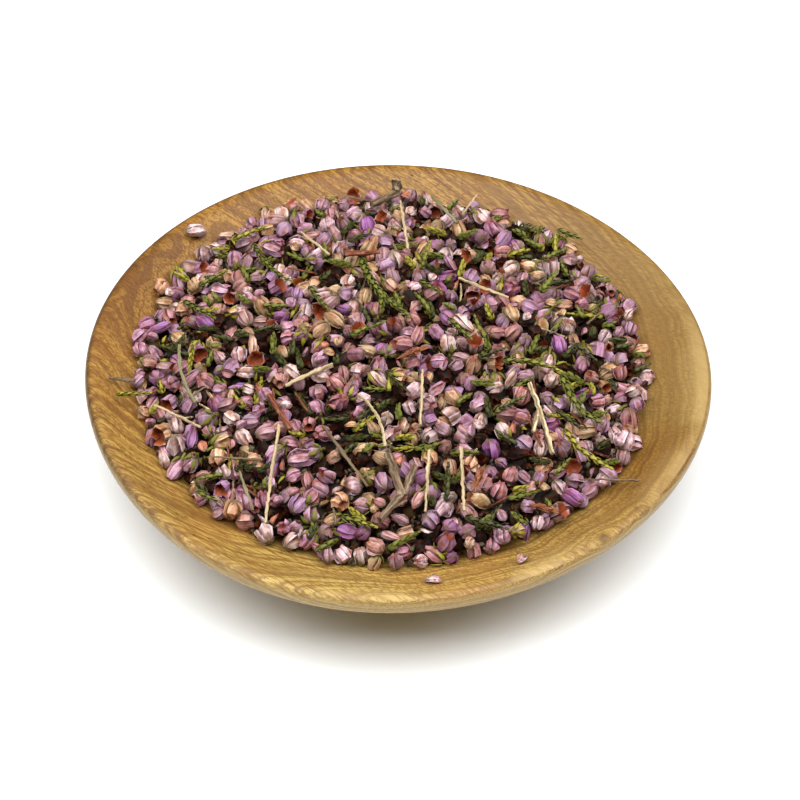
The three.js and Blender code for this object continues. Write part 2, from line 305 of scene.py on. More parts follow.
def share_texture(piece):
    """Lets every copy in a piece use the same part of a texture, through a shared map that copies the
    pattern map.
    """
    mesh = piece.data
    shared = mesh.uv_layers.new(name=SHARED_MAP)
    pattern = mesh.uv_layers[PATTERN_MAP]
    corners = np.zeros(len(mesh.loops) * 2, np.float32)
    pattern.data.foreach_get("uv", corners)
    shared.data.foreach_set("uv", corners)


def tint(mesh, name, value):
    """Gives every point of a mesh the same colour attribute."""
    layer = mesh.color_attributes.get(name)
    if layer is None:
        layer = mesh.color_attributes.new(name, "FLOAT_COLOR", "POINT")
    layer.data.foreach_set("color", [*value[:3], 1.0] * len(mesh.vertices))


def copied(name, placements):
    """Joins copies of finished shapes into one piece: (shape, matrix, colour) for each copy."""
    deselect_all()
    twin = None
    for shape, matrix, value in placements:
        mesh = shape.data.copy()
        mesh.transform(matrix)
        if value is not None:
            tint(mesh, "tint", value)
        twin = bpy.data.objects.new(name, mesh)
        bpy.context.collection.objects.link(twin)
        twin.select_set(True)
    bpy.context.view_layer.objects.active = twin
    bpy.ops.object.join()
    twin.name = name
    twin.data.name = name
    return twin


def discard(shapes):
    for shape in shapes:
        bpy.data.objects.remove(shape)


def joined(name, shapes):
    """Joins finished shapes, as they lie, into one piece."""
    whole = copied(name, [(shape, Matrix.Identity(4), None) for shape in shapes])
    discard(shapes)
    return whole


def facing(direction):
    """Turns +Z to a direction."""
    return direction.to_track_quat("Z", "Y").to_matrix().to_4x4()


def lying(place, rise, heading):
    """Puts a shape that lies along X at a place, with its rise and heading in radians."""
    return Matrix.Translation(place) @ Euler((0, -rise, heading)).to_matrix().to_4x4()


def finish_piece(piece, material, slot, replaces=None):
    """Gives a piece its material, ties it to the root body and hides the node that it replaces."""
    piece.data.materials.clear()
    piece.data.materials.append(material)
    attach(piece, "root")
    if replaces:
        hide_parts(replaces)


# Material helpers


class Finish:
    """A new material, and short ways to add and join its nodes."""

    def __init__(self, name, **shader_values):
        self.material = bpy.data.materials.new(name)
        self.material.use_nodes = True
        self.tree = self.material.node_tree
        self.tree.nodes.clear()
        self.shader = self.tree.nodes.new("ShaderNodeBsdfPrincipled")
        for socket, value in shader_values.items():
            self.shader.inputs[socket.replace("_", " ")].default_value = value
        output = self.tree.nodes.new("ShaderNodeOutputMaterial")
        self.tree.links.new(self.shader.outputs[0], output.inputs["Surface"])

    def join(self, value, socket):
        if isinstance(value, bpy.types.NodeSocket):
            self.tree.links.new(value, socket)
        else:
            socket.default_value = value

    def node(self, kind, inputs=None, **settings):
        node = self.tree.nodes.new(kind)
        for name, value in settings.items():
            setattr(node, name, value)
        for name, value in (inputs or {}).items():
            self.join(value, node.inputs[name])
        return node

    def shade(self, socket, value):
        self.join(value, self.shader.inputs[socket])

    def math(self, operation, a, b=0.0):
        return self.node("ShaderNodeMath", {0: a, 1: b}, operation=operation).outputs[0]

    def weighted(self, *parts):
        """Sum of values, each multiplied by its weight."""
        total = 0.0
        for value, weight in parts:
            total = self.math("ADD", self.math("MULTIPLY", value, weight), total)
        return total

    def mix(self, share, a, b, blend="MIX"):
        """Blends two colours, each of which may be a node's or a plain one."""
        a, b = [value if isinstance(value, bpy.types.NodeSocket) else (*value, 1.0) for value in (a, b)]
        node = self.node("ShaderNodeMix", {0: share, 6: a, 7: b}, data_type="RGBA", blend_type=blend)
        return node.outputs[2]

    def lay(self, under, over, value, low, high, strength=1.0, blend="MIX"):
        """Lays one colour over another: not at all where a value is low, most where it is high."""
        return self.mix(self.remap(value, low, high, 0.0, strength), under, over, blend)

    def hue(self, value, brightness, saturation=1.0):
        """A colour made brighter or darker, and more or less saturated."""
        return self.node("ShaderNodeHueSaturation", {
            "Value": brightness, "Saturation": saturation, "Color": value}).outputs[0]

    def scaled(self, place, factors):
        """A pattern's place with each axis multiplied by its own factor."""
        return self.node("ShaderNodeVectorMath", {0: place, 1: factors}, operation="MULTIPLY").outputs[0]

    def distance(self, place, point_mm):
        """Distance in metres from a point that is given in millimetres."""
        point = tuple(part * MM for part in point_mm)
        node = self.node("ShaderNodeVectorMath", {0: place, 1: point}, operation="DISTANCE")
        return node.outputs["Value"]

    def remap(self, value, low, high, to_low=0.0, to_high=1.0):
        node = self.node("ShaderNodeMapRange", {
            "Value": value, "From Min": low, "From Max": high, "To Min": to_low, "To Max": to_high})
        return node.outputs[0]

    def noise(self, scale, vector=None, line=None, detail=2.0, roughness=0.5):
        inputs = {"Scale": scale, "Detail": detail, "Roughness": roughness}
        if line is not None:
            node = self.node("ShaderNodeTexNoise", {"W": line, **inputs}, noise_dimensions="1D")
        else:
            node = self.node("ShaderNodeTexNoise", {"Vector": vector, **inputs})
        return node.outputs[0]

    def pattern(self, tinted):
        """Place on the piece's own surface, moved by its tint, and the way round it and along it."""
        uv = self.node("ShaderNodeUVMap", uv_map=PATTERN_MAP).outputs[0]
        moved = self.node("ShaderNodeVectorMath", {0: uv, 1: tinted}, operation="ADD").outputs[0]
        parts = self.node("ShaderNodeSeparateXYZ", {0: uv})
        return moved, parts.outputs[0], parts.outputs[1]

    def tint(self):
        return self.node("ShaderNodeAttribute", attribute_name="tint").outputs["Color"]

    def marked(self, name):
        """How strongly a point of the mesh is marked with a name."""
        return self.node("ShaderNodeAttribute", attribute_name=name).outputs["Fac"]

    def bump(self, height, distance_mm, strength=1.0):
        node = self.node("ShaderNodeBump", {
            "Height": height, "Distance": distance_mm * MM, "Strength": strength})
        self.shade("Normal", node.outputs[0])


# Bowl

# Growth rings: the fibre's heading seen from above, and the heart's depth and tilt
FIBRE_HEADING = math.radians(-35)
HEART_DEPTH_MM = 150
HEART_TILT = 0.236
# Small knots in the lip: the height of all, then each one's place seen from above and its size
KNOT_HEIGHT_MM = 24.5
KNOTS_MM = ((40, -48.5, 1.6), (42.3, -51.5, 1.1), (49, -42, 1.0))
# Middle of the greyer side, and the distances from it between which the grey fades
GREY_SIDE_MM = (56, 10, 22)
GREY_FADES_MM = (16, 70)
# How thick the hollow's skin is, under which the outside starts
SKIN_MM = 1.2
# Distances from the axis at which the paler lip and the painted shadow along the brink start, and the side
# of the paler lip
LIP_FROM_MM = 60.6
SHADED_BRINK_FROM_MM = 64
PALE_LIP_SIDE = (0.8, -0.6)
# Painted shade and painted light: stretches of wood made darker on the back-left, left and right-front
# walls and paler
# on the front wall. For each: place, sRGB colour that it is multiplied by, which brightens past 255, and
# the distances from that place between which it fades
PAINTED_SHADE_AND_LIGHT_MM = (
    ((-36, 60, 24), (238, 217, 182), 30, 120),
    ((-58, 26, 22), (230, 222, 214), 8, 28),
    ((52, -27, 22), (226, 208, 174), 6, 17),
    ((-10, -60, 23), (273, 282, 290), 12, 45),
)


def wood_finish():
    bowl = bpy.context.scene.heather_bowl
    wood = Finish("turned_teak", Specular_IOR_Level=0.34)
    place = wood.node("ShaderNodeTexCoord").outputs["Object"]
    turned = wood.node("ShaderNodeMapping", {
        "Vector": place, "Rotation": (0, 0, -FIBRE_HEADING), "Scale": (1 / MM, 1 / MM, 1 / MM)})
    fibre = turned.outputs[0]

    stretched = wood.scaled(fibre, (0.022, 0.06, 0.06))
    drift = wood.node("ShaderNodeTexNoise", {
        "Vector": stretched, "Scale": 1.0, "Detail": 2.0, "Roughness": 0.45}).outputs["Color"]
    centred = wood.node("ShaderNodeVectorMath", {0: drift, 1: (0.5, 0.5, 0.5)}, operation="SUBTRACT")
    pushed = wood.node("ShaderNodeVectorMath", {0: centred.outputs[0], "Scale": 7.0}, operation="SCALE")
    waved = wood.node("ShaderNodeVectorMath", {0: fibre, 1: pushed.outputs[0]}, operation="ADD").outputs[0]
    parts = wood.node("ShaderNodeSeparateXYZ", {0: waved})
    over_heart = wood.math("ADD", parts.outputs[2], HEART_DEPTH_MM)
    over_heart = wood.math("ADD", over_heart, wood.math("MULTIPLY", parts.outputs[0], HEART_TILT))
    beside_heart = wood.math("POWER", parts.outputs[1], 2.0)
    ring = wood.math("SQRT", wood.math("ADD", beside_heart, wood.math("POWER", over_heart, 2.0)))
    for x, y, size in KNOTS_MM:
        away = wood.distance(place, (x, y, KNOT_HEIGHT_MM))
        pull = wood.remap(away, 0.0, size * 2.4 * MM, size * 0.6, 0.0)
        ring = wood.math("ADD", ring, pull)

    fine = wood.noise(1.5, line=ring, detail=4.0, roughness=0.72)
    broad = wood.noise(0.3, line=ring, detail=1.0)
    tone = wood.weighted((fine, 0.85), (broad, 0.15))
    shades = wood.node("ShaderNodeValToRGB", {0: tone})
    ramp = shades.color_ramp
    ramp.elements[0].position = 0.32
    ramp.elements[0].color = (*bowl.ring, 1.0)
    ramp.elements[1].position = 0.62
    ramp.elements[1].color = (*bowl.light_ring, 1.0)
    ramp.elements.new(0.47).color = (*bowl.wood, 1.0)
    shade = shades.outputs[0]

    streaks = wood.noise(1.0, vector=wood.scaled(fibre, (0.25, 2.4, 2.4)), detail=5.0, roughness=0.7)
    shade = wood.lay(shade, bowl.ring, streaks, 0.52, 0.68, 0.4)
    shade = wood.lay(shade, bowl.light_ring, streaks, 0.46, 0.3, 0.4)
    fibres = wood.noise(1.0, vector=wood.scaled(fibre, (0.35, 3.2, 3.2)), detail=1.0)
    shade = wood.lay(shade, bowl.ring, fibres, 0.52, 0.6, 0.6)
    shade = wood.lay(shade, bowl.light_ring, fibres, 0.47, 0.37, 0.65)
    ring_lines = wood.noise(1.35, line=ring, detail=1.0)
    cracks = wood.noise(1.0, vector=wood.scaled(fibre, (0.1, 1.2, 1.2)), detail=2.0)
    for grain, width, strength in ((ring_lines, 0.07, 0.6), (cracks, 0.035, 0.8)):
        from_line = wood.math("ABSOLUTE", wood.math("SUBTRACT", grain, 0.5))
        shade = wood.lay(shade, bowl.ring, from_line, width, width * 0.3, strength)
    resin = wood.noise(42.0, vector=place, detail=2.0)
    shade = wood.lay(shade, bowl.amber, resin, 0.5, 0.68, 0.22)

    pores_at = wood.scaled(fibre, (0.2, 0.55, 0.55))
    pores = wood.node("ShaderNodeTexVoronoi", {"Vector": pores_at, "Scale": 1.0})
    speck = wood.remap(pores.outputs["Distance"], 0.06, 0.11, 0.9, 0.0)
    patches = wood.noise(60.0, vector=place, detail=1.0)
    speck = wood.math("MULTIPLY", speck, wood.remap(patches, 0.48, 0.56))
    shade = wood.mix(speck, shade, bowl.pore_and_brink_shadow)

    for x, y, size in KNOTS_MM:
        away = wood.distance(place, (x, y, KNOT_HEIGHT_MM))
        shade = wood.lay(shade, bowl.pore_and_brink_shadow, away, size * 1.3 * MM, size * 0.25 * MM, 0.5)

    near, far = GREY_FADES_MM
    shade = wood.lay(shade, bowl.grey, wood.distance(place, GREY_SIDE_MM), far * MM, near * MM, 0.66)
    # Painted shade and painted light on stretches of the walls
    for centre, lighting_factor, near, far in PAINTED_SHADE_AND_LIGHT_MM:
        away = wood.distance(place, centre)
        shade = wood.lay(shade, colour(*lighting_factor), away, far * MM, near * MM, blend="MULTIPLY")
    lip = wood.math("MULTIPLY", wood.marked("lip"), wood.remap(resin, 0.44, 0.56, 0.5, 0.05))
    shade = wood.mix(lip, shade, bowl.pale_wood_and_painted_light)
    # Painted shadow: a thin dark line along the rim's outer edge on the back-left side
    shade = wood.mix(wood.math("MULTIPLY", wood.marked("brink"), 0.75), shade, bowl.pore_and_brink_shadow)
    # Paler outside, partly painted light that brightens the band under the lip
    outer = wood.math("MULTIPLY", wood.marked("outside"), wood.remap(tone, 0.4, 0.58, 0.28, 0.62))
    shade = wood.mix(outer, shade, bowl.pale_wood_and_painted_light)
    wood.shade("Base Color", shade)
    wood.shade("Roughness", wood.remap(streaks, 0.35, 0.65, 0.4, 0.58))
    tool_marks = wood.noise(900.0, vector=place, detail=1.0)
    relief = wood.weighted((streaks, 0.6), (fibres, 0.5), (speck, -1.0), (tool_marks, 0.3))
    wood.bump(relief, 0.14, 0.6)
    return wood.material


def bowl_outline(bowl):
    """Points of the bowl's outline in millimetres, each as point, handle before, handle after."""
    rim = bowl.rim_radius / MM
    height = bowl.rim_height / MM
    foot = bowl.foot_radius / MM
    sphere, centre = hollow_sphere()
    lip = centre - math.sqrt(sphere ** 2 - LIP_INSIDE_MM ** 2)
    half_turn = math.asin(LIP_INSIDE_MM / sphere)
    reach = 4 / 3 * math.tan(half_turn / 4) * sphere
    slope = Vector((math.cos(half_turn), math.sin(half_turn)))

    def bent(start, corner, end):
        start, corner, end = Vector(start), Vector(corner), Vector(end)
        return start, start.lerp(corner, 2 / 3), end.lerp(corner, 2 / 3), end

    curves = [
        bent((0, 0), (foot / 2, 0), (foot, 0)),
        bent((foot, 0), (foot + FOOT_ROUND_MM, 0), (foot + 1.6 * FOOT_ROUND_MM, FOOT_ROUND_MM)),
        bent((foot + 1.6 * FOOT_ROUND_MM, FOOT_ROUND_MM), (50, 8), (rim - BAND_INSET_MM, BAND_BOTTOM_MM)),
        bent((rim - BAND_INSET_MM, BAND_BOTTOM_MM), (rim, BAND_BOTTOM_MM + 1), (rim, BAND_TOP_MM)),
        ((rim, BAND_TOP_MM), (rim, height), (63.6, height + 0.25), (LIP_INSIDE_MM, lip)),
        ((LIP_INSIDE_MM, lip), Vector((LIP_INSIDE_MM, lip)) - slope * reach,
         (reach, centre - sphere), (0, centre - sphere)),
    ]
    points = []
    for index, (start, after, before, end) in enumerate(curves):
        handle_before = curves[index - 1][2] if index else start
        points.append((start, handle_before, after))
    points.append((curves[-1][3], curves[-1][2], curves[-1][3]))
    return points


class HEATHER_OT_add_bowl(bpy.types.Operator):
    """Turn the wooden bowl from its outline and warp its rim"""

    bl_idname = "heather.add_bowl"
    bl_label = "Add bowl"

    def execute(self, context):
        deselect_all()
        bpy.ops.curve.primitive_bezier_curve_add()
        outline = context.object
        spline = outline.data.splines[0]
        points = bowl_outline(context.scene.heather_bowl)
        spline.bezier_points.add(len(points) - len(spline.bezier_points))
        for target, (point, before, after) in zip(spline.bezier_points, points):
            target.handle_left_type = target.handle_right_type = "FREE"
            target.co = (point[0] * MM, 0, point[1] * MM)
            target.handle_left = (before[0] * MM, 0, before[1] * MM)
            target.handle_right = (after[0] * MM, 0, after[1] * MM)
        outline.data.resolution_u = CURVE_STEPS
        bpy.ops.object.convert(target="MESH")
        bowl = context.object
        bowl.name = bowl.data.name = "turned_bowl"
        bpy.ops.object.mode_set(mode="EDIT")
        bpy.ops.mesh.select_all(action="SELECT")
        bpy.ops.mesh.spin(steps=BOWL_STEPS, angle=2 * math.pi, center=(0, 0, 0), axis=(0, 0, 1))
        bpy.ops.mesh.select_all(action="SELECT")
        bpy.ops.mesh.remove_doubles(threshold=0.002 * MM)
        bpy.ops.mesh.normals_make_consistent(inside=False)
        bpy.ops.object.mode_set(mode="OBJECT")
        self.warp(bowl.data)
        bpy.ops.object.shade_smooth()
        finish_piece(bowl, wood_finish(), "teak", replaces="bowl")
        return {"FINISHED"}

    def warp(self, mesh):
        """Stretches the round bowl to the rim's outline and marks its outside, its paler lip, and the
        brink where a thin painted shadow goes.
        """
        points = np.zeros(len(mesh.vertices) * 3)
        mesh.vertices.foreach_get("co", points)
        points = points.reshape(-1, 3) / MM
        stretch = bowl_stretch(points[:, 0], points[:, 1])
        points[:, 0] *= stretch
        points[:, 1] *= stretch
        under = hollow_height(points[:, 0], points[:, 1]) - points[:, 2]
        outside = np.clip((under - SKIN_MM) / SKIN_MM, 0, 1)
        mesh.vertices.foreach_set("co", (points * MM).ravel())
        from_axis = np.hypot(points[:, 0], points[:, 1]) / bowl_stretch(points[:, 0], points[:, 1])
        to_pale_lip_side = points[:, :2] @ PALE_LIP_SIDE / np.maximum(from_axis, 1)
        lip = np.clip((from_axis - LIP_FROM_MM) / 2, 0, 1) * (under < SKIN_MM)
        lip *= np.clip(2 * to_pale_lip_side - 0.5, 0, 1)
        brink = np.clip((from_axis - SHADED_BRINK_FROM_MM) / 0.8, 0, 1) * np.clip(-0.1 - 2 * to_pale_lip_side, 0, 1)
        for name, values in (("outside", outside), ("lip", lip), ("brink", brink)):
            layer = mesh.attributes.new(name, "FLOAT", "POINT")
            layer.data.foreach_set("value", values)


# Flowers

SEPALS = 4
FLOWER_COLUMNS = 12
# Where each sepal's three points stand, as shares of the way to the next sepal
SEPAL_SHARES = (0.035, 0.5, 0.965)
# How many degrees a sepal may start early or late
SEPAL_JITTER = 17
# How far out those points lie, for two sepals in turn: overlapping like shingles, or in crossed pairs
SHINGLED = ((0.86, 1.0, 1.06), (0.86, 1.0, 1.06))
CROSSED = ((1.03, 1.09, 1.03), (0.88, 0.98, 0.88))
# Each flower's rings from base to tip: height, reach, and how much the sepals' middles rise
CLOSED_RINGS = (
    (0.0, 0.0, 0), (0.03, 0.46, 0), (0.2, 0.88, 0), (0.47, 1.02, 0), (0.74, 0.88, 0.02),
    (0.92, 0.46, 0.07), (0.88, 0.0, 0))
PLUMP_RINGS = (
    (0.0, 0.0, 0), (0.02, 0.52, 0), (0.18, 0.94, 0), (0.45, 1.06, 0), (0.72, 0.96, 0.03),
    (0.9, 0.6, 0.1), (0.66, 0.0, 0))
PARTED_RINGS = (
    (0.0, 0.0, 0), (0.03, 0.44, 0), (0.22, 0.86, 0), (0.5, 1.0, 0), (0.78, 0.92, 0.05),
    (0.96, 0.6, 0.16), (0.36, 0.0, 0))
OPEN_RINGS = (
    (0.0, 0.0, 0), (0.03, 0.44, 0), (0.24, 0.9, 0), (0.55, 1.05, 0.02), (0.86, 1.06, 0.14),
    (0.8, 0.9, 0.12), (0.4, 0.66, 0), (0.22, 0.0, 0))
LONG_RINGS = (
    (0.0, 0.0, 0), (0.03, 0.4, 0), (0.2, 0.86, 0), (0.42, 1.0, 0), (0.68, 0.78, 0.0),
    (0.9, 0.36, 0.03), (1.0, 0.0, 0))
# For each kind of flower: its rings, its width and length where its radius is 1, and its twist
FLOWER_KINDS = {
    "closed": (CLOSED_RINGS, 2.0, 2.1, 0.25),
    "plump": (PLUMP_RINGS, 2.0, 1.9, -0.4),
    "parted": (PARTED_RINGS, 1.95, 2.05, 0.5),
    "open": (OPEN_RINGS, 1.95, 1.9, 0.2),
    "long": (LONG_RINGS, 1.5, 3.1, 1.4),
}
# How far a flower's points usually stray outwards or inwards, as a share of its reach
CRUMPLE = 0.09


def flower_shape(name, kind, overlap, rng, width_mm=None, length_mm=None):
    """A dry crumpled flower of four sepals, with its middle at the origin and its tip up."""
    rings, own_width, own_length, twist = FLOWER_KINDS[kind]
    width_mm = width_mm or own_width
    length_mm = length_mm or own_length
    dents = [
        [rng.gauss(0, CRUMPLE) for column in range(FLOWER_COLUMNS)] for ring in rings
    ]
    leans = [rng.uniform(0.9, 1.1) for sepal in range(SEPALS)]
    rises = [rng.uniform(-0.07, 0.07) for sepal in range(SEPALS)]
    starts = [90 * sepal + rng.uniform(-SEPAL_JITTER, SEPAL_JITTER) for sepal in range(SEPALS)]
    starts.append(starts[0] + 360)

    def place(column, row):
        height, reach, rise = rings[row]
        sepal, part = divmod(column, 3)
        turn = starts[sepal] + (starts[sepal + 1] - starts[sepal]) * SEPAL_SHARES[part]
        around = math.radians(turn) + twist * height
        outwards = reach * width_mm / 2 * overlap[sepal % 2][part]
        if reach:
            outwards *= (1 + dents[row][column]) * leans[sepal]
            height += rise * (1, 1.6, 0.7)[part] + rises[sepal] * height ** 2 + dents[row][column] * 0.4
        return Vector((
            math.cos(around) * outwards, math.sin(around) * outwards,
            (height - 0.5) * length_mm)) * MM

    return shaped_grid(name, FLOWER_COLUMNS, len(rings) - 1, place, smooth_angle=40)


def bracts_shape():
    """Four small green leaves and a stub of stalk that hold a flower's base."""
    leaf = leaf_shape("bract_leaf", 1.9, 0.8, 0.26)
    parts = []
    for turn in range(4):
        lean = Matrix.Rotation(math.radians(90 * turn + 40), 4, "Z")
        lean = lean @ Matrix.Translation((0.55 * MM, 0, -0.15 * MM))
        lean = lean @ Matrix.Rotation(math.radians(33), 4, "Y")
        parts.append((leaf, lean, None))
    stub = tube("bract_stub", [Vector((0, 0, z * MM)) for z in (-0.9, -0.3, 0.25)],
                lambda share, around: 0.24 * MM, sides=6)
    parts.append((stub, Matrix.Identity(4), None))
    whole = copied("bracts", parts)
    discard([leaf, stub])
    return whole


# Colours that all petals share; the crease red is painted shade in the overlaps of the sepals
BLOTCH_BROWN = colour(130, 68, 34)
CREASE_SHADE_RED = colour(60, 15, 8)
BASE_OLIVE = colour(84, 64, 30)
INSIDE_BROWN = colour(114, 56, 32)


def petal_finish(name, inside_from=None, shine=0.38, stained=0.7, brightness=1.0):
    """Dry papery sepals: pale edges and veins with some painted highlight, dark lines of painted shade
    where they overlap, blotches and a dull base.

    inside_from is the height on the pattern past which the flower's inner wall starts. stained is the
    strength of the stains that some sepals have, and brightness is that of the whole finish, which is
    lowered as painted shade for the flowers covered low in the heap.
    """
    heap = bpy.context.scene.heather_heap
    petal = Finish(name, Specular_IOR_Level=shine)
    tinted = petal.tint()
    place, around, along = petal.pattern(tinted)
    across = petal.math("FRACT", petal.math("MULTIPLY", around, SEPALS))
    veins = petal.noise(1.0, vector=petal.scaled(place, (46, 3.2, 9)), detail=2.0, roughness=0.6)
    blotches = petal.noise(1.0, vector=petal.scaled(place, (9, 5, 7)), detail=2.0)

    sepal = petal.math("FLOOR", petal.math("MULTIPLY", around, SEPALS))
    redness = petal.node("ShaderNodeSeparateColor", {0: tinted}).outputs[0]
    sepal = petal.math("ADD", sepal, petal.math("MULTIPLY", redness, 40.0))
    level = petal.math("FRACT", petal.math("MULTIPLY", petal.math("SINE", sepal), 37.0))
    light = petal.hue(tinted, 2.1, 0.68)
    dull = petal.hue(tinted, 0.5, 1.25)
    brown = petal.mix(0.6, dull, BLOTCH_BROWN)
    dark = petal.mix(0.8, dull, CREASE_SHADE_RED)
    # Pale patches along the veins, partly painted highlight
    shade = petal.lay(tinted, light, veins, 0.42, 0.6, 0.55)
    stain = petal.math("MULTIPLY", level, petal.remap(blotches, 0.42, 0.58, 0.0, stained))
    shade = petal.mix(stain, shade, heap.peach)
    shade = petal.lay(shade, brown, blotches, 0.52, 0.66, 0.7)
    # Pale margin of each sepal, partly painted highlight
    shade = petal.lay(shade, light, across, 0.52, 0.66, 0.6)
    # Painted shade, partly the sepals' own red-brown edges: dark lines where one sepal tucks under the
    # next
    crease_shade = petal.math("MAXIMUM", petal.remap(across, 0.2, 0.05, 0.0, 0.95),
                        petal.remap(across, 0.68, 0.74, 0.0, 1.0))
    crease_shade = petal.math("MULTIPLY", crease_shade, petal.remap(level, 0.1, 0.4, 0.35, 1.0))
    crease_shade = petal.math("MULTIPLY", crease_shade, petal.remap(blotches, 0.34, 0.5, 0.4, 1.0))
    shade = petal.mix(crease_shade, shade, dark)
    shade = petal.lay(shade, BASE_OLIVE, along, 0.36, 0.12, 0.8)
    shade = petal.lay(shade, petal.mix(0.4, dark, heap.rust), along, 0.72, 0.88, 0.75)
    if inside_from is not None:
        rust = petal.lay(heap.rust, INSIDE_BROWN, veins, 0.35, 0.7)
        shade = petal.lay(shade, rust, along, inside_from, inside_from + 0.06)
    petal.shade("Base Color", petal.hue(shade, brightness))
    petal.shade("Roughness", petal.remap(blotches, 0.3, 0.7, 0.42, 0.62))
    petal.bump(veins, 0.09, 0.8)
    return petal.material


# Leaves

# Width of the shoot whose leaves have their own size
SHOOT_WIDTH_MM = 2.1


def leaf_shape(name, length_mm, width_mm, thickness_mm, columns=6):
    """A small keeled scale leaf that stands on the origin and curls towards the stem."""
    rings = ((0.0, 0.0), (0.1, 0.75), (0.36, 1.0), (0.72, 0.55), (1.0, 0.0))

    def place(column, row):
        height, reach = rings[row]
        around = 2 * math.pi * column / columns
        curl = math.sin(height * math.pi) * length_mm * 0.1
        keel = 1.25 if math.cos(around) > 0.6 else 0.8
        return Vector((
            math.cos(around) * reach * thickness_mm / 2 * keel + curl,
            math.sin(around) * reach * width_mm / 2,
            height * length_mm)) * MM

    return shaped_grid(name, columns, len(rings) - 1, place, smooth_angle=60)


def leaf_finish(name):
    """Dry scale leaves: lighter keel and tip, and dark at the foot as painted shade where the leaf below
    overlaps it.
    """
    leaf = Finish(name, Specular_IOR_Level=0.25)
    tinted = leaf.tint()
    place, around, along = leaf.pattern(tinted)
    grain = leaf.noise(1.0, vector=leaf.scaled(place, (14, 3, 5)), detail=2.0)
    light = leaf.hue(tinted, 1.6, 0.92)
    dark = leaf.hue(tinted, 0.42)
    from_back = leaf.math("ABSOLUTE", leaf.math("SUBTRACT", around, 0.5))
    shade = leaf.lay(tinted, light, along, 0.55, 1.0, 0.6)
    shade = leaf.lay(shade, light, from_back, 0.34, 0.48, 0.55)
    # Painted shade at the foot of each leaf
    shade = leaf.lay(shade, dark, along, 0.45, 0.1, 0.9)
    shade = leaf.lay(shade, dark, grain, 0.52, 0.7, 0.5)
    leaf.shade("Base Color", shade)
    leaf.shade("Roughness", leaf.remap(grain, 0.3, 0.7, 0.42, 0.66))
    leaf.bump(grain, 0.04, 0.5)
    return leaf.material


def shoot(name, path, width_mm, base_tint, tip_tint, leaf, rng):
    """A leafy shoot along a path in metres: a stem, and pairs of scale leaves that cross."""
    pitch = bpy.context.scene.heather_greens.leaf_pitch
    length = sum((b - a).length for a, b in zip(path, path[1:]))
    pairs = max(3, round(length / pitch))
    points = smooth_path(path, pairs + 2)
    along = directions(points)
    parts = []
    base_tint, tip_tint = Vector(base_tint), Vector(tip_tint)
    for index in range(pairs):
        share = index / pairs
        size = width_mm / SHOOT_WIDTH_MM * (1 - 0.4 * share ** 2)
        value = base_tint.lerp(tip_tint, share ** 1.5) * rng.uniform(0.75, 1.2)
        for half in range(2):
            turn = math.pi * half + math.pi / 2 * (index % 2) + 0.4 + rng.uniform(-0.25, 0.25)
            lean = math.radians(20 - 8 * share + rng.uniform(-5, 7))
            grow = size * rng.uniform(0.88, 1.12)
            matrix = Matrix.Translation(points[index]) @ facing(along[index])
            matrix = matrix @ Matrix.Rotation(turn, 4, "Z") @ Matrix.Translation((0.14 * MM, 0, 0))
            matrix = matrix @ Matrix.Rotation(lean, 4, "Y") @ Matrix.Scale(grow, 4)
            parts.append((leaf, matrix, value))
    end_size = 0.6 * width_mm / SHOOT_WIDTH_MM
    for turn in (0, 2.2, 4.3):
        matrix = Matrix.Translation(points[-2]) @ facing(along[-2]) @ Matrix.Rotation(turn, 4, "Z")
        matrix = matrix @ Matrix.Rotation(math.radians(9), 4, "Y") @ Matrix.Scale(end_size, 4)
        parts.append((leaf, matrix, tip_tint))
    stem = tube(f"{name}_stem", points[:-1], lambda share, around: (0.3 - 0.14 * share) * MM, sides=6)
    parts.append((stem, Matrix.Identity(4), base_tint * 0.7))
    whole = copied(name, parts)
    discard([stem])
    return whole


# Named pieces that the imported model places

GREEN, DARK, YELLOW = "green", "dark_green", "yellow_green"
# Colours at the cut end and at the tip of the shoots that aren't plain green
SHOOT_TINTS = {
    "sprig_back_upright": (GREEN, YELLOW),
    "sprig_left_back_pale": (YELLOW, YELLOW),
    "sprig_right_middle": (GREEN, YELLOW),
    "sprig_right_dark": (DARK, DARK),
    "sprig_right_side": (DARK, DARK),
    "sprig_right_front_long": (YELLOW, YELLOW),
    "sprig_right_front_dark": (DARK, DARK),
    "sprig_centre_front_right": (DARK, GREEN),
    "sprig_front_edge": (DARK, DARK),
    "sprig_centre": (DARK, DARK),
    "sprig_front_middle": (DARK, DARK),
    "sprig_front_bright": (GREEN, YELLOW),
    "sprig_left_yellow": (YELLOW, YELLOW),
    "sprig_left_wall": (YELLOW, YELLOW),
}
# Shoots with a side shoot: each arm's width, then its points seen from above
SIDE_SHOOTS_MM = {
    "sprig_centre_back": ((2.3, (-8, 24), (-4.5, 13.5), (2.5, 4.5)), (1.9, (-3.2, 12.5), (-3.5, 6.5))),
    "sprig_right_long": ((2.3, (33.5, -9.5), (37, -18), (41.5, -21)), (1.9, (36.5, -17), (39, -12.5))),
}
# Twigs with more than one arm: each arm's thickness at both ends, then its points seen from above,
# or in space
TWIG_ARMS_MM = {
    "twig_forked": (
        (1.8, 1.6, (-2, -32), (1, -41.5)),
        (1.3, 1.1, (3.4, -34.5), (1.2, -41)),
        (1.6, 1.2, (0.8, -41), (-3.5, -46.5)),
    ),
    "twig_back_grey": (
        (1.5, 1.2, (-6, 46.5), (0.5, 52.5)),
        (1.3, 2.0, (-0.2, 51.8, 26.8), (-0.5, 53.2, 29.6)),
    ),
    "twig_right_forked": (
        (1.0, 0.8, (27, -12), (29, -20), (31, -29.5)),
        (0.8, 0.7, (28.6, -18.5), (27.2, -24.5)),
    ),
}


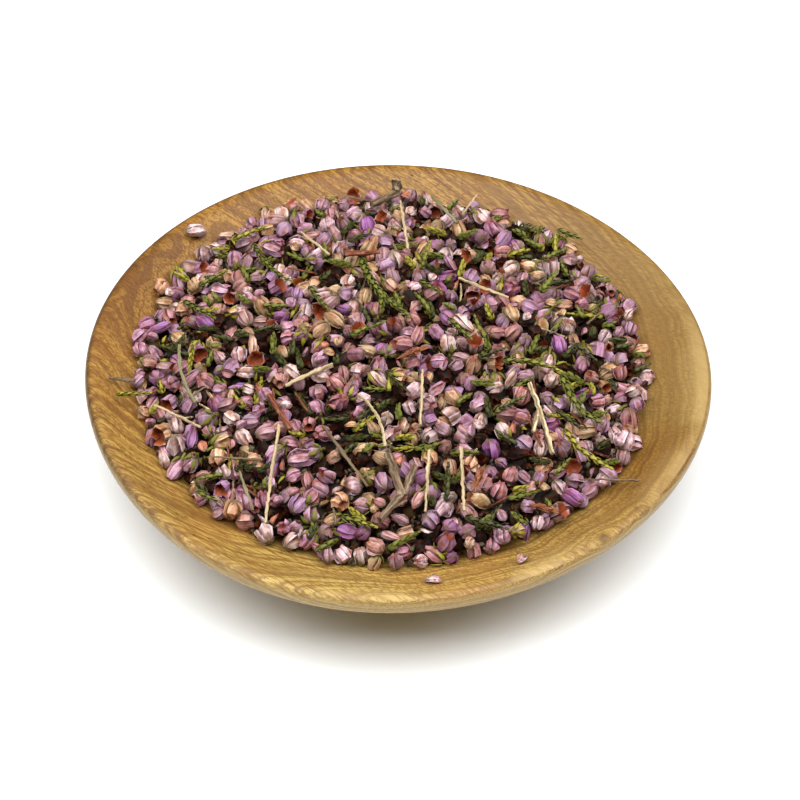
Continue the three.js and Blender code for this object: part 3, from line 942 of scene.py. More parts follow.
def seated(points, radius_mm):
    """Path in metres through points seen from above, on the heap or the bare wood."""
    if len(points[0]) == 3:
        return [Vector(point) * MM for point in points]
    flat = smooth_path([(x, y, 0) for x, y in points], 9)
    path = []
    for point in flat:
        on_heap = from_heap_centre(point.x, point.y) < bpy.context.scene.heather_heap.radius / MM
        height = dome_height if on_heap else hollow_height
        path.append(Vector((point.x, point.y, height(point.x, point.y) + radius_mm + CLEARANCE_MM)) * MM)
    return path


def centre_line(name, count=9):
    """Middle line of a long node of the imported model, and its usual reach from that line.

    The node's long axis is bent by a fit through its vertices. It starts at the thick end.
    """
    corners = np.array([vertex.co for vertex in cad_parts[name].data.vertices])
    corners = np.unique(corners.round(6), axis=0)
    middle = corners.mean(0)
    axes = np.linalg.svd(corners - middle, full_matrices=False)[2]
    local = (corners - middle) @ axes.T
    degree = int(np.clip(np.ptp(local[:, 0]) / (5 * MM), 1, 3))
    bends = [np.polyfit(local[:, 0], local[:, axis], degree) for axis in (1, 2)]
    away = np.hypot(*[local[:, axis] - np.polyval(bends[axis - 1], local[:, 0]) for axis in (1, 2)])
    steps = np.linspace(local[:, 0].min(), local[:, 0].max(), count)
    line = np.column_stack([steps, np.polyval(bends[0], steps), np.polyval(bends[1], steps)])
    path = [Vector(point) for point in line @ axes + middle]
    near_start = away[local[:, 0] < np.quantile(local[:, 0], 0.3)].max()
    near_end = away[local[:, 0] > np.quantile(local[:, 0], 0.7)].max()
    if near_end > near_start:
        path.reverse()
    return path, np.median(away)


def nodes_like(start):
    return sorted(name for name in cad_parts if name.startswith(start))


class HEATHER_OT_add_shoots(bpy.types.Operator):
    """Grow each named leafy shoot along its node"""

    bl_idname = "heather.add_shoots"
    bl_label = "Add leafy shoots"

    def execute(self, context):
        greens = context.scene.heather_greens
        rng = random.Random(SEED)
        leaf = leaf_shape("scale_leaf", 2.15, 1.15, 0.45)
        finish = leaf_finish("scale_leaves")
        for name in nodes_like("sprig_"):
            base, tip = SHOOT_TINTS.get(name, (GREEN, GREEN))
            tints = getattr(greens, base), getattr(greens, tip)
            if name in SIDE_SHOOTS_MM:
                arms = [(seated(points, width / 2), width) for width, *points in SIDE_SHOOTS_MM[name]]
            else:
                path, reach = centre_line(name)
                arms = [(path, 3 * reach / MM)]
            shoots = [shoot(f"{name}_{i}", path, width, *tints, leaf, rng)
                      for i, (path, width) in enumerate(arms)]
            finish_piece(joined(f"{name}_leaves", shoots), finish, "leaf", replaces=name)
        discard([leaf])
        return {"FINISHED"}


def straw_finish(name, fibrous):
    """Dry stalk or bark: streaks along it, darker specks, and pale worn ridges."""
    stalk = Finish(name, Specular_IOR_Level=0.22)
    tinted = stalk.tint()
    place = stalk.pattern(tinted)[0]
    streaks_at = stalk.scaled(place, (8 if fibrous else 14, 2.4, 4))
    streaks = stalk.noise(1.0, vector=streaks_at, detail=3.0, roughness=0.65)
    specks = stalk.noise(1.0, vector=stalk.scaled(place, (6, 26, 4)), detail=1.0)
    dark = stalk.hue(tinted, 0.28)
    light = stalk.hue(tinted, 2.0 if fibrous else 1.35, 0.8)
    shade = stalk.lay(tinted, dark, streaks, 0.5, 0.56, 0.9 if fibrous else 0.45)
    shade = stalk.lay(shade, light, streaks, 0.45, 0.37, 0.8)
    shade = stalk.lay(shade, dark, specks, 0.62, 0.7, 0.6)
    stalk.shade("Base Color", shade)
    stalk.shade("Roughness", stalk.remap(streaks, 0.3, 0.7, 0.45, 0.75))
    stalk.bump(streaks, 0.3 if fibrous else 0.06, 0.9)
    return stalk.material


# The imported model's straws are stouter than dry straws are
STRAW_SLIMNESS = 0.66
# Steps along a stalk, and the reach of its knobs
STALK_STEP_MM = 0.7
KNOB_REACH_MM = 0.45
# Stalks that aren't plain straw colour
STRAW_TINTS = {
    "straw_centre_grey": "bark",
    "straw_left_green": "green_straw",
    "straw_front_green": "green_straw",
    "straw_back_green": "green_straw",
    "straw_left_grey": "bark",
    "straw_right_thin": "bark",
    "straw_on_left_rim": "bark",
}


def stalk(name, path, start_mm, end_mm, knobs, unevenness, rng, sides=10):
    """A dry stalk: a bar that tapers, with small knobs where leaves were and a slight kink."""
    length = sum((b - a).length for a, b in zip(path, path[1:]))
    count = max(8, round(length / (STALK_STEP_MM * MM)))
    points = smooth_path(path, count)
    for index, point in enumerate(points[1:-1], 1):
        point += Vector([rng.uniform(-1, 1) * 0.05 * MM * unevenness for _ in range(3)])
    places = [rng.uniform(0.05, 0.95) for _ in range(knobs)]
    phases = [rng.uniform(0, 6.28) for _ in range(3)]

    def radius(share, around):
        size = start_mm + (end_mm - start_mm) * share
        for place in places:
            size += 0.26 * start_mm * math.exp(-((share - place) * length / (KNOB_REACH_MM * MM)) ** 2)
        ridges = math.sin(3 * around + phases[0] + 5 * share) + 0.7 * math.sin(2 * around + phases[1])
        return size / 2 * MM * (1 + 0.07 * unevenness * ridges)

    return tube(name, points, radius, sides)


class HEATHER_OT_add_straws(bpy.types.Operator):
    """Lay each named dry straw along its node"""

    bl_idname = "heather.add_straws"
    bl_label = "Add straws"

    def execute(self, context):
        colours = context.scene.heather_stalks
        rng = random.Random(SEED + 1)
        finish = straw_finish("dry_straw", fibrous=False)
        for name in nodes_like("straw_"):
            path, reach = centre_line(name)
            width = 2 * reach / MM * STRAW_SLIMNESS
            straw = stalk(f"{name}_stalk", path, width * 1.1, width * 0.8, 4, 2.4, rng)
            tint(straw.data, "tint", getattr(colours, STRAW_TINTS.get(name, "straw")))
            share_texture(straw)
            finish_piece(straw, finish, "straw", replaces=name)
        return {"FINISHED"}


# Twigs that aren't grey-brown
TWIG_TINTS = {"twig_left_red": "red_bark", "twig_back_red": "red_bark", "twig_right_forked": "straw"}


class HEATHER_OT_add_twigs(bpy.types.Operator):
    """Lay each named woody twig, arm by arm"""

    bl_idname = "heather.add_twigs"
    bl_label = "Add twigs"

    def execute(self, context):
        colours = context.scene.heather_stalks
        rng = random.Random(SEED + 2)
        finish = straw_finish("fibrous_bark", fibrous=True)
        for name in nodes_like("twig_"):
            if name in TWIG_ARMS_MM:
                arms = [(seated(points, thick / 2), thick, thin)
                        for thick, thin, *points in TWIG_ARMS_MM[name]]
            else:
                path, reach = centre_line(name)
                arms = [(path, 2 * reach / MM, 1.6 * reach / MM)]
            limbs = [stalk(f"{name}_{i}", path, thick, thin, 2, 2.4, rng, sides=18)
                     for i, (path, thick, thin) in enumerate(arms)]
            twig = joined(f"{name}_wood", limbs)
            tint(twig.data, "tint", getattr(colours, TWIG_TINTS.get(name, "bark")))
            finish_piece(twig, finish, "straw" if name == "twig_right_forked" else "bark", replaces=name)
        return {"FINISHED"}


def curled_chip(name, length_mm, width_mm, thickness_mm, curl, ragged, rng):
    """A thin chip or petal that lies along X, bent across its width, with a ragged outline."""
    columns, rows = 12, 12
    ragged_at = [1 + rng.uniform(-ragged, ragged) for _ in range(rows + 1)]

    def place(column, row):
        share = row / rows
        half = math.sin(math.pi * share) ** 0.6 * width_mm / 2 * ragged_at[row]
        around = 2 * math.pi * column / columns
        across = math.cos(around) * half
        lift = curl * (across / (width_mm / 2)) ** 2 * width_mm
        lift += 0.12 * curl * width_mm * math.sin(share * 7)
        rise = math.sin(around) * thickness_mm / 2 * (1 if 0 < row < rows else 0)
        return Vector(((share - 0.5) * length_mm, across, lift + rise)) * MM

    return shaped_grid(name, columns, rows, place, smooth_angle=50)


class HEATHER_OT_add_chips(bpy.types.Operator):
    """Lay the bark chips and the two loose petals on their nodes"""

    bl_idname = "heather.add_chips"
    bl_label = "Add bark chips and petals"

    def execute(self, context):
        rng = random.Random(SEED + 3)
        bark = straw_finish("inner_bark", fibrous=True)
        petal = petal_finish("loose_petals")
        for name in nodes_like("bark_chip_") + nodes_like("loose_petal_"):
            is_bark = name.startswith("bark")
            path, reach = centre_line(name)
            span = path[-1] - path[0]
            length = span.length / MM
            if is_bark:
                strips = [curled_chip(f"{name}_{i}", length * share, 0.95, 0.3, 0.5, 0.45, rng)
                          for i, share in enumerate((1, 0.82, 0.6))]
                lies = [Matrix.Translation((shift * MM, side * MM, 0)) @ Matrix.Rotation(turn, 4, "Z")
                        for shift, side, turn in ((0, 0, 0), (0.5, 0.42, 0.09), (-0.7, -0.4, -0.07))]
                chip = copied(f"{name}_piece", [(*pair, None) for pair in zip(strips, lies)])
                discard(strips)
            else:
                chip = curled_chip(f"{name}_piece", length, 1.7, 0.16, 0.4, 0.4, rng)
            middle = (path[0] + path[-1]) / 2
            chip.data.transform(lying(middle, math.atan2(span.z, span.xy.length), math.atan2(*span.yx)))
            heap = context.scene.heather_heap
            stalks = context.scene.heather_stalks
            petal_tint = Vector(heap.pale).lerp(Vector(heap.rose), 0.3)
            tint(chip.data, "tint", stalks.orange_bark if is_bark else petal_tint)
            finish_piece(chip, bark if is_bark else petal, "bark" if is_bark else "flower", replaces=name)
        return {"FINISHED"}


# Loose flowers of the heap

# The map on which the flowers come to rest: its cells, and half its side
CELL_MM = 0.4
HALF_SIDE_MM = 60
# Radii of the balls that stand for flowers, leafy bits and flakes, stalk bits and crumbs
FLOWER_RADII_MM = (1.35, 1.5, 1.65, 1.8)
BIT_RADIUS_MM = 0.75
THIN_RADIUS_MM = 0.35
CRUMB_RADIUS_MM = 0.5
CRUMBS = 1000
# How far the heap's top strays from the dome, and how far beyond that a flower may reach
CREST_MM = 1.5
PROUD_MM = 0.35
# How far the ball of a flower sinks into those that hold it, and the balls of a bit
SQUEEZE_MM = 0.16
BIT_SQUEEZE_MM = 0.15
# How unevenly the flowers and the crumbs fill the heap
FLOWER_UNEVENNESS_MM = 1.6
CRUMB_UNEVENNESS_MM = 3.0
# How much must lie over a flower to give it the painted shade of the flowers covered low in the heap
COVER_MM = 1.2
# How far the loose flowers spill over the heap's edge, to which side, and how widely
SPILL_MM = 3.2
SPILL_DEGREES = 138
SPILL_SPREAD_DEGREES = 18
# How far the heap's edge strays all round
EDGE_WAVE_MM = 2.1
# Failed drops after which the heap counts as full, and the bits that are laid on it last
MISSES_WHEN_FULL = 40
LAST_BITS = 210
# Places that are tried for each bit, their distance from the edge, and how far over the dome it may be
BIT_TRIES = 8
BIT_INSET_MM = 2.5
BIT_PROUD_MM = 1.5


def smooth_noise(shape, spread, rng):
    """A map of soft bumps from -1 to 1, as wide as spread cells."""
    field = rng.standard_normal(shape)
    reach = np.arange(-2 * spread, 2 * spread + 1)
    kernel = np.exp(-((reach / spread) ** 2))
    kernel /= kernel.sum()
    field = np.apply_along_axis(lambda line: np.convolve(line, kernel, mode="same"), 0, field)
    field = np.apply_along_axis(lambda line: np.convolve(line, kernel, mode="same"), 1, field)
    return field / np.abs(field).max()


class Pile:
    """The heap while it fills: for each radius, how high the centre of a ball of it comes to rest."""

    def __init__(self, floor, rng):
        side = np.arange(-HALF_SIDE_MM, HALF_SIDE_MM + CELL_MM / 2, CELL_MM)
        self.x, self.y = np.meshgrid(side, side, indexing="ij")
        ground = floor(self.x, self.y)
        self.dome = dome_height(self.x, self.y)
        self.rest = {}
        self.roof = {}
        for radius in (*FLOWER_RADII_MM, BIT_RADIUS_MM, CRUMB_RADIUS_MM, THIN_RADIUS_MM):
            self.rest[radius] = self.swollen(ground, radius)
            self.roof[radius] = np.full_like(ground, np.inf)
        self.crest = CREST_MM * smooth_noise(ground.shape, 6, rng)

    def swollen(self, ground, radius):
        reach = int(radius / CELL_MM)
        result = np.full_like(ground, -np.inf)
        for i in range(-reach, reach + 1):
            for j in range(-reach, reach + 1):
                gap = radius ** 2 - (i * i + j * j) * CELL_MM ** 2
                if gap >= 0:
                    moved = np.roll(np.roll(ground, i, axis=0), j, axis=1)
                    result = np.maximum(result, moved + math.sqrt(gap))
        return result

    def window(self, x, y, reach):
        low = [max(0, int((value - reach + HALF_SIDE_MM) / CELL_MM)) for value in (x, y)]
        high = [int((value + reach + HALF_SIDE_MM) / CELL_MM) + 2 for value in (x, y)]
        return slice(low[0], high[0]), slice(low[1], high[1])

    def add_ball(self, x, y, z, size, as_roof=False):
        """Puts a ball in the pile; as a roof, it only keeps other balls from rising into it."""
        for radius, rest in self.rest.items():
            part = self.window(x, y, size + radius)
            gap = (size + radius) ** 2 - (self.x[part] - x) ** 2 - (self.y[part] - y) ** 2
            shift = np.sqrt(np.maximum(gap, 0))
            if as_roof:
                roof = self.roof[radius]
                roof[part] = np.where(gap > 0, np.minimum(roof[part], z - shift), roof[part])
            else:
                rest[part] = np.where(gap > 0, np.maximum(rest[part], z + shift), rest[part])

    def cell(self, x, y):
        return (round((x + HALF_SIDE_MM) / CELL_MM), round((y + HALF_SIDE_MM) / CELL_MM))

    def lowest(self, rest, blocked, bumps, rng):
        """The cell where a ball rests deepest under the dome, give or take bumps that are moved at random.

        It is None where every cell is blocked.
        """
        level = rest - self.dome + np.roll(bumps, (rng.randrange(300), rng.randrange(300)), axis=(0, 1))
        level[blocked] = np.inf
        spot = np.unravel_index(np.argmin(level), level.shape)
        return spot if np.isfinite(level[spot]) else None


# Colours of the core, which is painted shade under the loose flowers: on its bumps, and painted shadow
# between them
CORE_OLIVE = colour(52, 44, 24)
CORE_SHADOW = colour(20, 12, 8)


def core_height(x, y):
    """Height of the solid middle of the heap, under its loose flowers."""
    bottom = hollow_height(x, y) + CLEARANCE_MM
    return np.maximum(bottom + 0.05, dome_height(x, y) - CORE_DEPTH_MM)


class HEATHER_OT_add_core(bpy.types.Operator):
    """Fill the hollow under the loose flowers with a bumpy mass, dark as painted shade"""

    bl_idname = "heather.add_core"
    bl_label = "Add core of the heap"

    def execute(self, context):
        heap = context.scene.heather_heap
        deselect_all()
        bpy.ops.mesh.primitive_uv_sphere_add(segments=120, ring_count=80, radius=CORE_RADIUS_MM * MM)
        core = context.object
        core.name = core.data.name = "heap_core"
        bumps = np.random.default_rng(SEED)
        for vertex in core.data.vertices:
            upper = vertex.co.z > 0
            x = vertex.co.x / MM + HEAP_CENTRE_MM[0]
            y = vertex.co.y / MM + HEAP_CENTRE_MM[1]
            bottom = hollow_height(x, y) + CLEARANCE_MM
            height = core_height(x, y) + bumps.uniform(-0.5, 0.5) if upper else bottom
            vertex.co = Vector((x, y, max(height, bottom + 0.02 if upper else bottom))) * MM
        bpy.ops.object.mode_set(mode="EDIT")
        bpy.ops.mesh.select_all(action="SELECT")
        bpy.ops.mesh.normals_make_consistent(inside=False)
        bpy.ops.object.mode_set(mode="OBJECT")
        bpy.ops.object.shade_smooth()
        deep = Finish("deep_flowers", Roughness=0.9)
        place = deep.node("ShaderNodeTexCoord").outputs["Object"]
        cells = deep.node("ShaderNodeTexVoronoi", {"Vector": place, "Scale": 380.0})
        mottle = deep.noise(240.0, vector=place, detail=3.0)
        shade = deep.mix(mottle, heap.deep, CORE_OLIVE)
        shade = deep.lay(shade, CORE_SHADOW, cells.outputs["Distance"], 0.3, 0.6)
        deep.shade("Base Color", shade)
        deep.bump(cells.outputs["Distance"], 0.6, -1.0)
        finish_piece(core, deep.material, "dried_flowers", replaces="heap")
        return {"FINISHED"}


# Share of the flowers in each family of colours, and how many tints it has; the last family is painted
# shade, for the flowers covered low in the heap
FAMILIES = (
    ("lilac", 0.33, 12), ("pale", 0.17, 7), ("rose", 0.17, 7), ("violet", 0.11, 6), ("cream", 0.2, 8),
    ("deep", 1.0, 6))
# Kinds of flower in the order in which a family's tints take them, and how rare the odd ones are
KIND_ORDER = ("closed", "parted", "open", "plump", "parted", "long", "closed", "open")
RARE_KINDS = {"open": 0.6, "long": 0.35}
# Share of the flowers that keep their bracts, and how often a bit of each kind falls after a flower
BRACT_SHARE = 0.24
GREEN_BIT_SHARE = 0.05
FLAKE_SHARE = 0.05
THIN_BIT_SHARE = 0.02
# How dark a crumb is, as a share of its family's colour; partly painted shade, as the crumbs lie in the
# gaps between the flowers
CRUMB_SHADE = 0.36
# Length at which the stalk bits are shaped, before each is stretched to its own
THIN_LENGTH_MM = 6


def varied(value, rng, spread=0.12):
    """A colour a little lighter or darker, and a little off its hue."""
    level = rng.uniform(1 - spread, 1 + spread)
    parts = [part * level * rng.uniform(1 - spread / 2, 1 + spread / 2) for part in value]
    return tuple(min(1, max(0, part)) for part in parts)


def bent_path(length_mm):
    """A path along X, in metres, that bends a little in its middle."""
    points = ((-length_mm / 2, 0, 0), (0, 0.2, 0), (length_mm / 2, 0, 0))
    return [Vector(point) * MM for point in points]


def any_turn(rng):
    """A random rotation, all directions alike."""
    parts = [rng.gauss(0, 1) for _ in range(4)]
    return Quaternion(parts).normalized().to_matrix().to_4x4()


class HEATHER_OT_add_flowers(bpy.types.Operator):
    """Fill the bowl with loose flowers, leaf bits and flakes that come to rest on each other"""

    bl_idname = "heather.add_flowers"
    bl_label = "Add loose flowers"

    def execute(self, context):
        rng = random.Random(SEED + 5)
        pile = Pile(core_height, np.random.default_rng(SEED + 6))
        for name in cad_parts:
            if name.startswith(("sprig_", "straw_", "twig_", "bark_", "lone_")):
                self.keep_clear(pile, name)
        resting = self.fill(pile, rng)
        self.build(context, resting, rng)
        return {"FINISHED"}

    def keep_clear(self, pile, name):
        """Keeps the loose flowers out of a named piece."""
        if name in SIDE_SHOOTS_MM:
            lines = [(seated(points, width / 2), width / 2) for width, *points in SIDE_SHOOTS_MM[name]]
        elif name in TWIG_ARMS_MM:
            lines = [(seated(points, thick / 2), thick / 2) for thick, thin, *points in TWIG_ARMS_MM[name]]
        else:
            path, reach = centre_line(name)
            lines = [(path, reach / MM)]
        share = 1.25 if name.startswith("sprig_") else 0.8
        for path, radius in lines:
            for point in smooth_path(path, 40):
                pile.add_ball(*(point / MM), radius * share, as_roof=True)

    def fill(self, pile, rng):
        """Drops flowers and bits on the lowest free places until the dome is full.

        Each one that rests is its kind, place and radius, and how it lies: whether it is covered
        for a flower, and its heading, tilt and length for all others.
        """
        heap = bpy.context.scene.heather_heap
        field = smooth_noise(pile.x.shape, 2, np.random.default_rng(SEED + 8))
        edge = from_heap_centre(pile.x, pile.y) + EDGE_WAVE_MM * smooth_noise(
            pile.x.shape, 9, np.random.default_rng(SEED + 9))
        heading = np.degrees(np.arctan2(pile.y - HEAP_CENTRE_MM[1], pile.x - HEAP_CENTRE_MM[0]))
        edge -= SPILL_MM * np.exp(-((heading - SPILL_DEGREES) / SPILL_SPREAD_DEGREES) ** 2)
        resting = []
        misses = 0
        while misses < MISSES_WHEN_FULL:
            radius = rng.choice(FLOWER_RADII_MM)
            rest = pile.rest[radius]
            ceiling = np.minimum(pile.dome + pile.crest - radius + PROUD_MM, pile.roof[radius])
            blocked = (rest > ceiling) | (edge > heap.radius / MM - radius - 0.2)
            spot = pile.lowest(rest, blocked, FLOWER_UNEVENNESS_MM * field, rng)
            if spot is None:
                misses += 1
                continue
            x, y, z = pile.x[spot], pile.y[spot], rest[spot] - SQUEEZE_MM
            pile.add_ball(x, y, z, radius)
            resting.append(("flower", Vector((x, y, z)), radius, None))
            draw = rng.random()
            if draw < GREEN_BIT_SHARE:
                self.drop_stick(pile, rng, resting, "green", BIT_RADIUS_MM, rng.uniform(3.5, 8))
            elif draw < GREEN_BIT_SHARE + FLAKE_SHARE:
                self.drop_stick(pile, rng, resting, "flake", BIT_RADIUS_MM, 2.4)
            elif draw < GREEN_BIT_SHARE + FLAKE_SHARE + THIN_BIT_SHARE:
                self.drop_stick(pile, rng, resting, "thin", THIN_RADIUS_MM, rng.uniform(4, 10))
        for _ in range(LAST_BITS):
            kind = rng.choices(("green", "flake", "thin"), (5, 3, 2))[0]
            radius = THIN_RADIUS_MM if kind == "thin" else BIT_RADIUS_MM
            self.drop_stick(pile, rng, resting, kind, radius, rng.uniform(2.4, 6))
        self.drop_crumbs(pile, rng, resting, field, edge)
        smallest = FLOWER_RADII_MM[0]
        for index, (kind, place, radius, lie) in enumerate(resting):
            if kind == "flower":
                over = pile.rest[smallest][pile.cell(place.x, place.y)] - place.z
                inside = from_heap_centre(place.x, place.y) < heap.radius / MM - 4
                covered = inside and over > radius + smallest + COVER_MM
                resting[index] = (kind, place, radius, covered)
        return resting

    def drop_crumbs(self, pile, rng, resting, field, edge):
        """Sprinkles crumbs of broken leaves and flowers into the gaps that are left."""
        heap = bpy.context.scene.heather_heap
        rest = pile.rest[CRUMB_RADIUS_MM]
        for _ in range(CRUMBS):
            blocked = (rest > pile.dome + 0.4) | (edge > heap.radius / MM - 2)
            spot = pile.lowest(rest, blocked, CRUMB_UNEVENNESS_MM * field, rng)
            if spot is None:
                return
            place = Vector((pile.x[spot], pile.y[spot], rest[spot] - 0.1))
            pile.add_ball(*place, CRUMB_RADIUS_MM)
            resting.append(("crumb", place, CRUMB_RADIUS_MM, (0, 0, 1)))

    def drop_stick(self, pile, rng, resting, kind, radius, length):
        """Lays a short bit in the deepest of a few random places, if it stays under the dome."""
        heap = bpy.context.scene.heather_heap
        best = None
        for _ in range(BIT_TRIES):
            out = (heap.radius / MM - BIT_INSET_MM) * math.sqrt(rng.random())
            turn = rng.uniform(0, 2 * math.pi)
            heading = rng.uniform(0, math.pi)
            x = HEAP_CENTRE_MM[0] + out * math.cos(turn)
            y = HEAP_CENTRE_MM[1] + out * math.sin(turn)
            shares = np.linspace(-0.5, 0.5, max(3, round(length / 0.8)))
            xs = x + math.cos(heading) * length * shares
            ys = y + math.sin(heading) * length * shares
            cells = [pile.cell(*point) for point in zip(xs, ys)]
            rests = np.array([pile.rest[radius][cell] for cell in cells])
            tilt = np.clip((rests[-1] - rests[0]) / length, -0.5, 0.5)
            line = tilt * length * shares
            centre = (rests - line).max()
            roofs = min(pile.roof[radius][cell] for cell in cells)
            over = centre + abs(tilt) * length / 2 + radius - dome_height(x, y)
            inside = (from_heap_centre(xs, ys) < heap.radius / MM - radius).all()
            fits = inside and over < BIT_PROUD_MM and centre + line.max() < roofs
            if fits and (best is None or over < best[0]):
                best = (over, xs, ys, centre + line, heading, tilt)
        if best is None:
            return
        over, xs, ys, zs, heading, tilt = best
        for point in zip(xs, ys, zs - BIT_SQUEEZE_MM):
            pile.add_ball(*point, radius)
        middle = Vector((xs.mean(), ys.mean(), zs.mean() - BIT_SQUEEZE_MM))
        resting.append((kind, middle, radius, (heading, math.atan(tilt), length)))

    def build(self, context, resting, rng):
        heap = context.scene.heather_heap
        finishes = {
            "closed": petal_finish("closed_petals"),
            "parted": petal_finish("parted_petals", inside_from=0.84),
            "open": petal_finish("open_petals", inside_from=0.6),
        }
        finishes["plump"] = finishes["long"] = finishes["closed"]
        # Painted shade: a darker copy of the petals, with less shine and no stains, for the flowers
        # covered low in the heap
        shaded = petal_finish("deep_petals", shine=0.08, stained=0.0, brightness=0.5)
        batches = []
        for family, share, tints in FAMILIES:
            for number in range(tints):
                kind = KIND_ORDER[(number * 3 + len(family)) % len(KIND_ORDER)]
                overlap = SHINGLED if number % 3 else CROSSED
                name = f"flowers_{family}_{number + 1}"
                shape = flower_shape(name, kind, overlap, rng)
                weight = share / tints * RARE_KINDS.get(kind, 1)
                other = getattr(heap, rng.choice(("rose", "cream", "pale", "lilac")))
                value = Vector(getattr(heap, family))
                value = value.lerp(Vector(other), rng.uniform(0, 0.04 if family == "deep" else 0.3))
                batches.append((name, kind, shape, varied(value, rng, 0.2), weight))
        deep = [batch for batch in batches if "deep" in batch[0]]
        upper = [batch for batch in batches if "deep" not in batch[0]]
        flowers = {batch[0]: [] for batch in batches}
        held = []
        for item, place, radius, lie in resting:
            if item != "flower":
                continue
            choices = deep if lie else upper
            name, kind, shape, value, weight = rng.choices(choices, [batch[-1] for batch in choices])[0]
            size = radius * rng.uniform(0.95, 1.04)
            squash = Matrix.Diagonal((
                size * rng.uniform(0.9, 1.06), size * rng.uniform(0.9, 1.06),
                size * rng.uniform(0.95, 1.14), 1))
            matrix = Matrix.Translation(place * MM) @ any_turn(rng) @ squash
            flowers[name].append((shape, matrix, value))
            if kind != "open" and rng.random() < BRACT_SHARE:
                held.append(matrix @ Matrix.Translation((0, 0, -1.1 * MM)) @ Matrix.Scale(0.8, 4))
        for name, kind, shape, value, weight in batches:
            if flowers[name]:
                piece = copied(f"heap_{name}", flowers[name])
                share_texture(piece)
                finish_piece(piece, shaded if "deep" in name else finishes[kind], "flower")
        discard([batch[2] for batch in batches])
        self.add_bracts(context, held)
        self.add_bits(context, resting, rng)

    def add_bracts(self, context, held):
        greens = context.scene.heather_greens
        bracts = bracts_shape()
        finish = leaf_finish("bract_leaves")
        for number, family in enumerate((greens.green, greens.yellow_green, greens.green)):
            group = [(bracts, matrix, varied(family, random.Random(number))) for matrix in held[number::3]]
            piece = copied(f"bracts_{number + 1}", group)
            share_texture(piece)
            finish_piece(piece, finish, "leaf")
        discard([bracts])

    def add_bits(self, context, resting, rng):
        greens = context.scene.heather_greens
        stalks = context.scene.heather_stalks
        heap = context.scene.heather_heap
        leaf = leaf_shape("bit_leaf", 2.05, 1.05, 0.42, columns=5)
        lengths = (3, 5, 7)
        plain = (0.5, 0.5, 0.5)
        sprays = [
            shoot(f"spray_{length}", bent_path(length), 1.9, plain, plain, leaf, rng) for length in lengths
        ]
        flake = curled_chip("flake", 2.8, 2.0, 0.14, 0.3, 0.06, rng)
        thin = stalk("thin_bit", bent_path(THIN_LENGTH_MM), 0.5, 0.36, 2, 1.6, rng, sides=6)
        crumbs = [crumb_shape(f"crumb_{number}", rng) for number in range(3)]
        groups = {}
        for kind, place, radius, lie in resting:
            if kind == "flower":
                continue
            heading, tilt, length = lie
            matrix = lying(place * MM, tilt, heading) @ Matrix.Rotation(rng.uniform(0, 6.28), 4, "X")
            if kind == "green":
                nearest = min(range(3), key=lambda i: abs(lengths[i] - length))
                family = rng.choices(("green", "dark_green", "yellow_green"), (5, 4, 2))[0]
                key = ("green", f"{family}_{lengths[nearest]}", tuple(getattr(greens, family)))
                spray = sprays[nearest]
                stretch = Matrix.Scale(length / lengths[nearest], 4, (1, 0, 0))
                groups.setdefault(key, []).append((spray, matrix @ stretch))
            elif kind == "crumb":
                family = rng.choices(("bark", "red_bark", "orange_bark", "green_straw"), (4, 3, 1, 2))[0]
                key = ("crumb", family, tuple(part * CRUMB_SHADE for part in getattr(stalks, family)))
                size = Matrix.Scale(rng.uniform(0.7, 1.25), 4)
                groups.setdefault(key, []).append((rng.choice(crumbs), matrix @ any_turn(rng) @ size))
            elif kind == "flake":
                family = rng.choices(("pale", "lilac", "cream", "rose", "rust"), (3, 3, 3, 2, 2))[0]
                key = ("flake", family, tuple(getattr(heap, family)))
                groups.setdefault(key, []).append((flake, matrix))
            else:
                family = rng.choices(("straw", "bark", "red_bark"), (2, 4, 4))[0]
                key = ("thin", family, tuple(getattr(stalks, family)))
                stretch = Matrix.Scale(length / THIN_LENGTH_MM, 4, (1, 0, 0))
                groups.setdefault(key, []).append((thin, matrix @ stretch))
        finishes = {
            "green": (leaf_finish("leaf_bits"), "leaf"),
            "flake": (petal_finish("flakes"), "flower"),
            "thin": (straw_finish("stalk_bits", fibrous=True), "straw"),
            "crumb": (straw_finish("crumbs", fibrous=True), "bark"),
        }
        for (kind, family, value), group in groups.items():
            piece = copied(f"{kind}_bits_{family}", [(shape, matrix, value) for shape, matrix in group])
            share_texture(piece)
            finish, slot = finishes[kind]
            finish_piece(piece, finish, slot)
        discard([leaf, flake, thin, *sprays, *crumbs])


def crumb_shape(name, rng):
    """An angular crumb of broken leaf or flower, about as wide as high."""
    rings = ((-1, 0.0), (-0.45, 0.8), (0.35, 0.9), (0.9, 0.0))
    dents = [[rng.uniform(0.6, 1.2) for column in range(5)] for ring in rings]

    def place(column, row):
        height, reach = rings[row]
        outwards = reach * dents[row][column] * 0.55
        around = 2 * math.pi * column / 5
        return Vector((math.cos(around) * outwards, math.sin(around) * outwards * 0.7, height * 0.75)) * MM

    return shaped_grid(name, 5, len(rings) - 1, place, smooth_angle=30)


class HEATHER_OT_add_lone_flower(bpy.types.Operator):
    """Lay the one flower that rests on the bare wood"""

    bl_idname = "heather.add_lone_flower"
    bl_label = "Add lone flower"

    def execute(self, context):
        path, reach = centre_line("lone_flower")
        low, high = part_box("lone_flower")
        length = (path[-1] - path[0]).length / MM
        flower = flower_shape(
            "lone_flower_petals", "plump", CROSSED, random.Random(SEED), 2.5 * reach / MM, length)
        flower.data.transform(Matrix.Translation((low + high) / 2) @ facing(path[0] - path[-1]))
        tint(flower.data, "tint", context.scene.heather_heap.pale)
        share_texture(flower)
        finish_piece(flower, petal_finish("lone_petals"), "flower", replaces="lone_flower")
        return {"FINISHED"}


# Stage

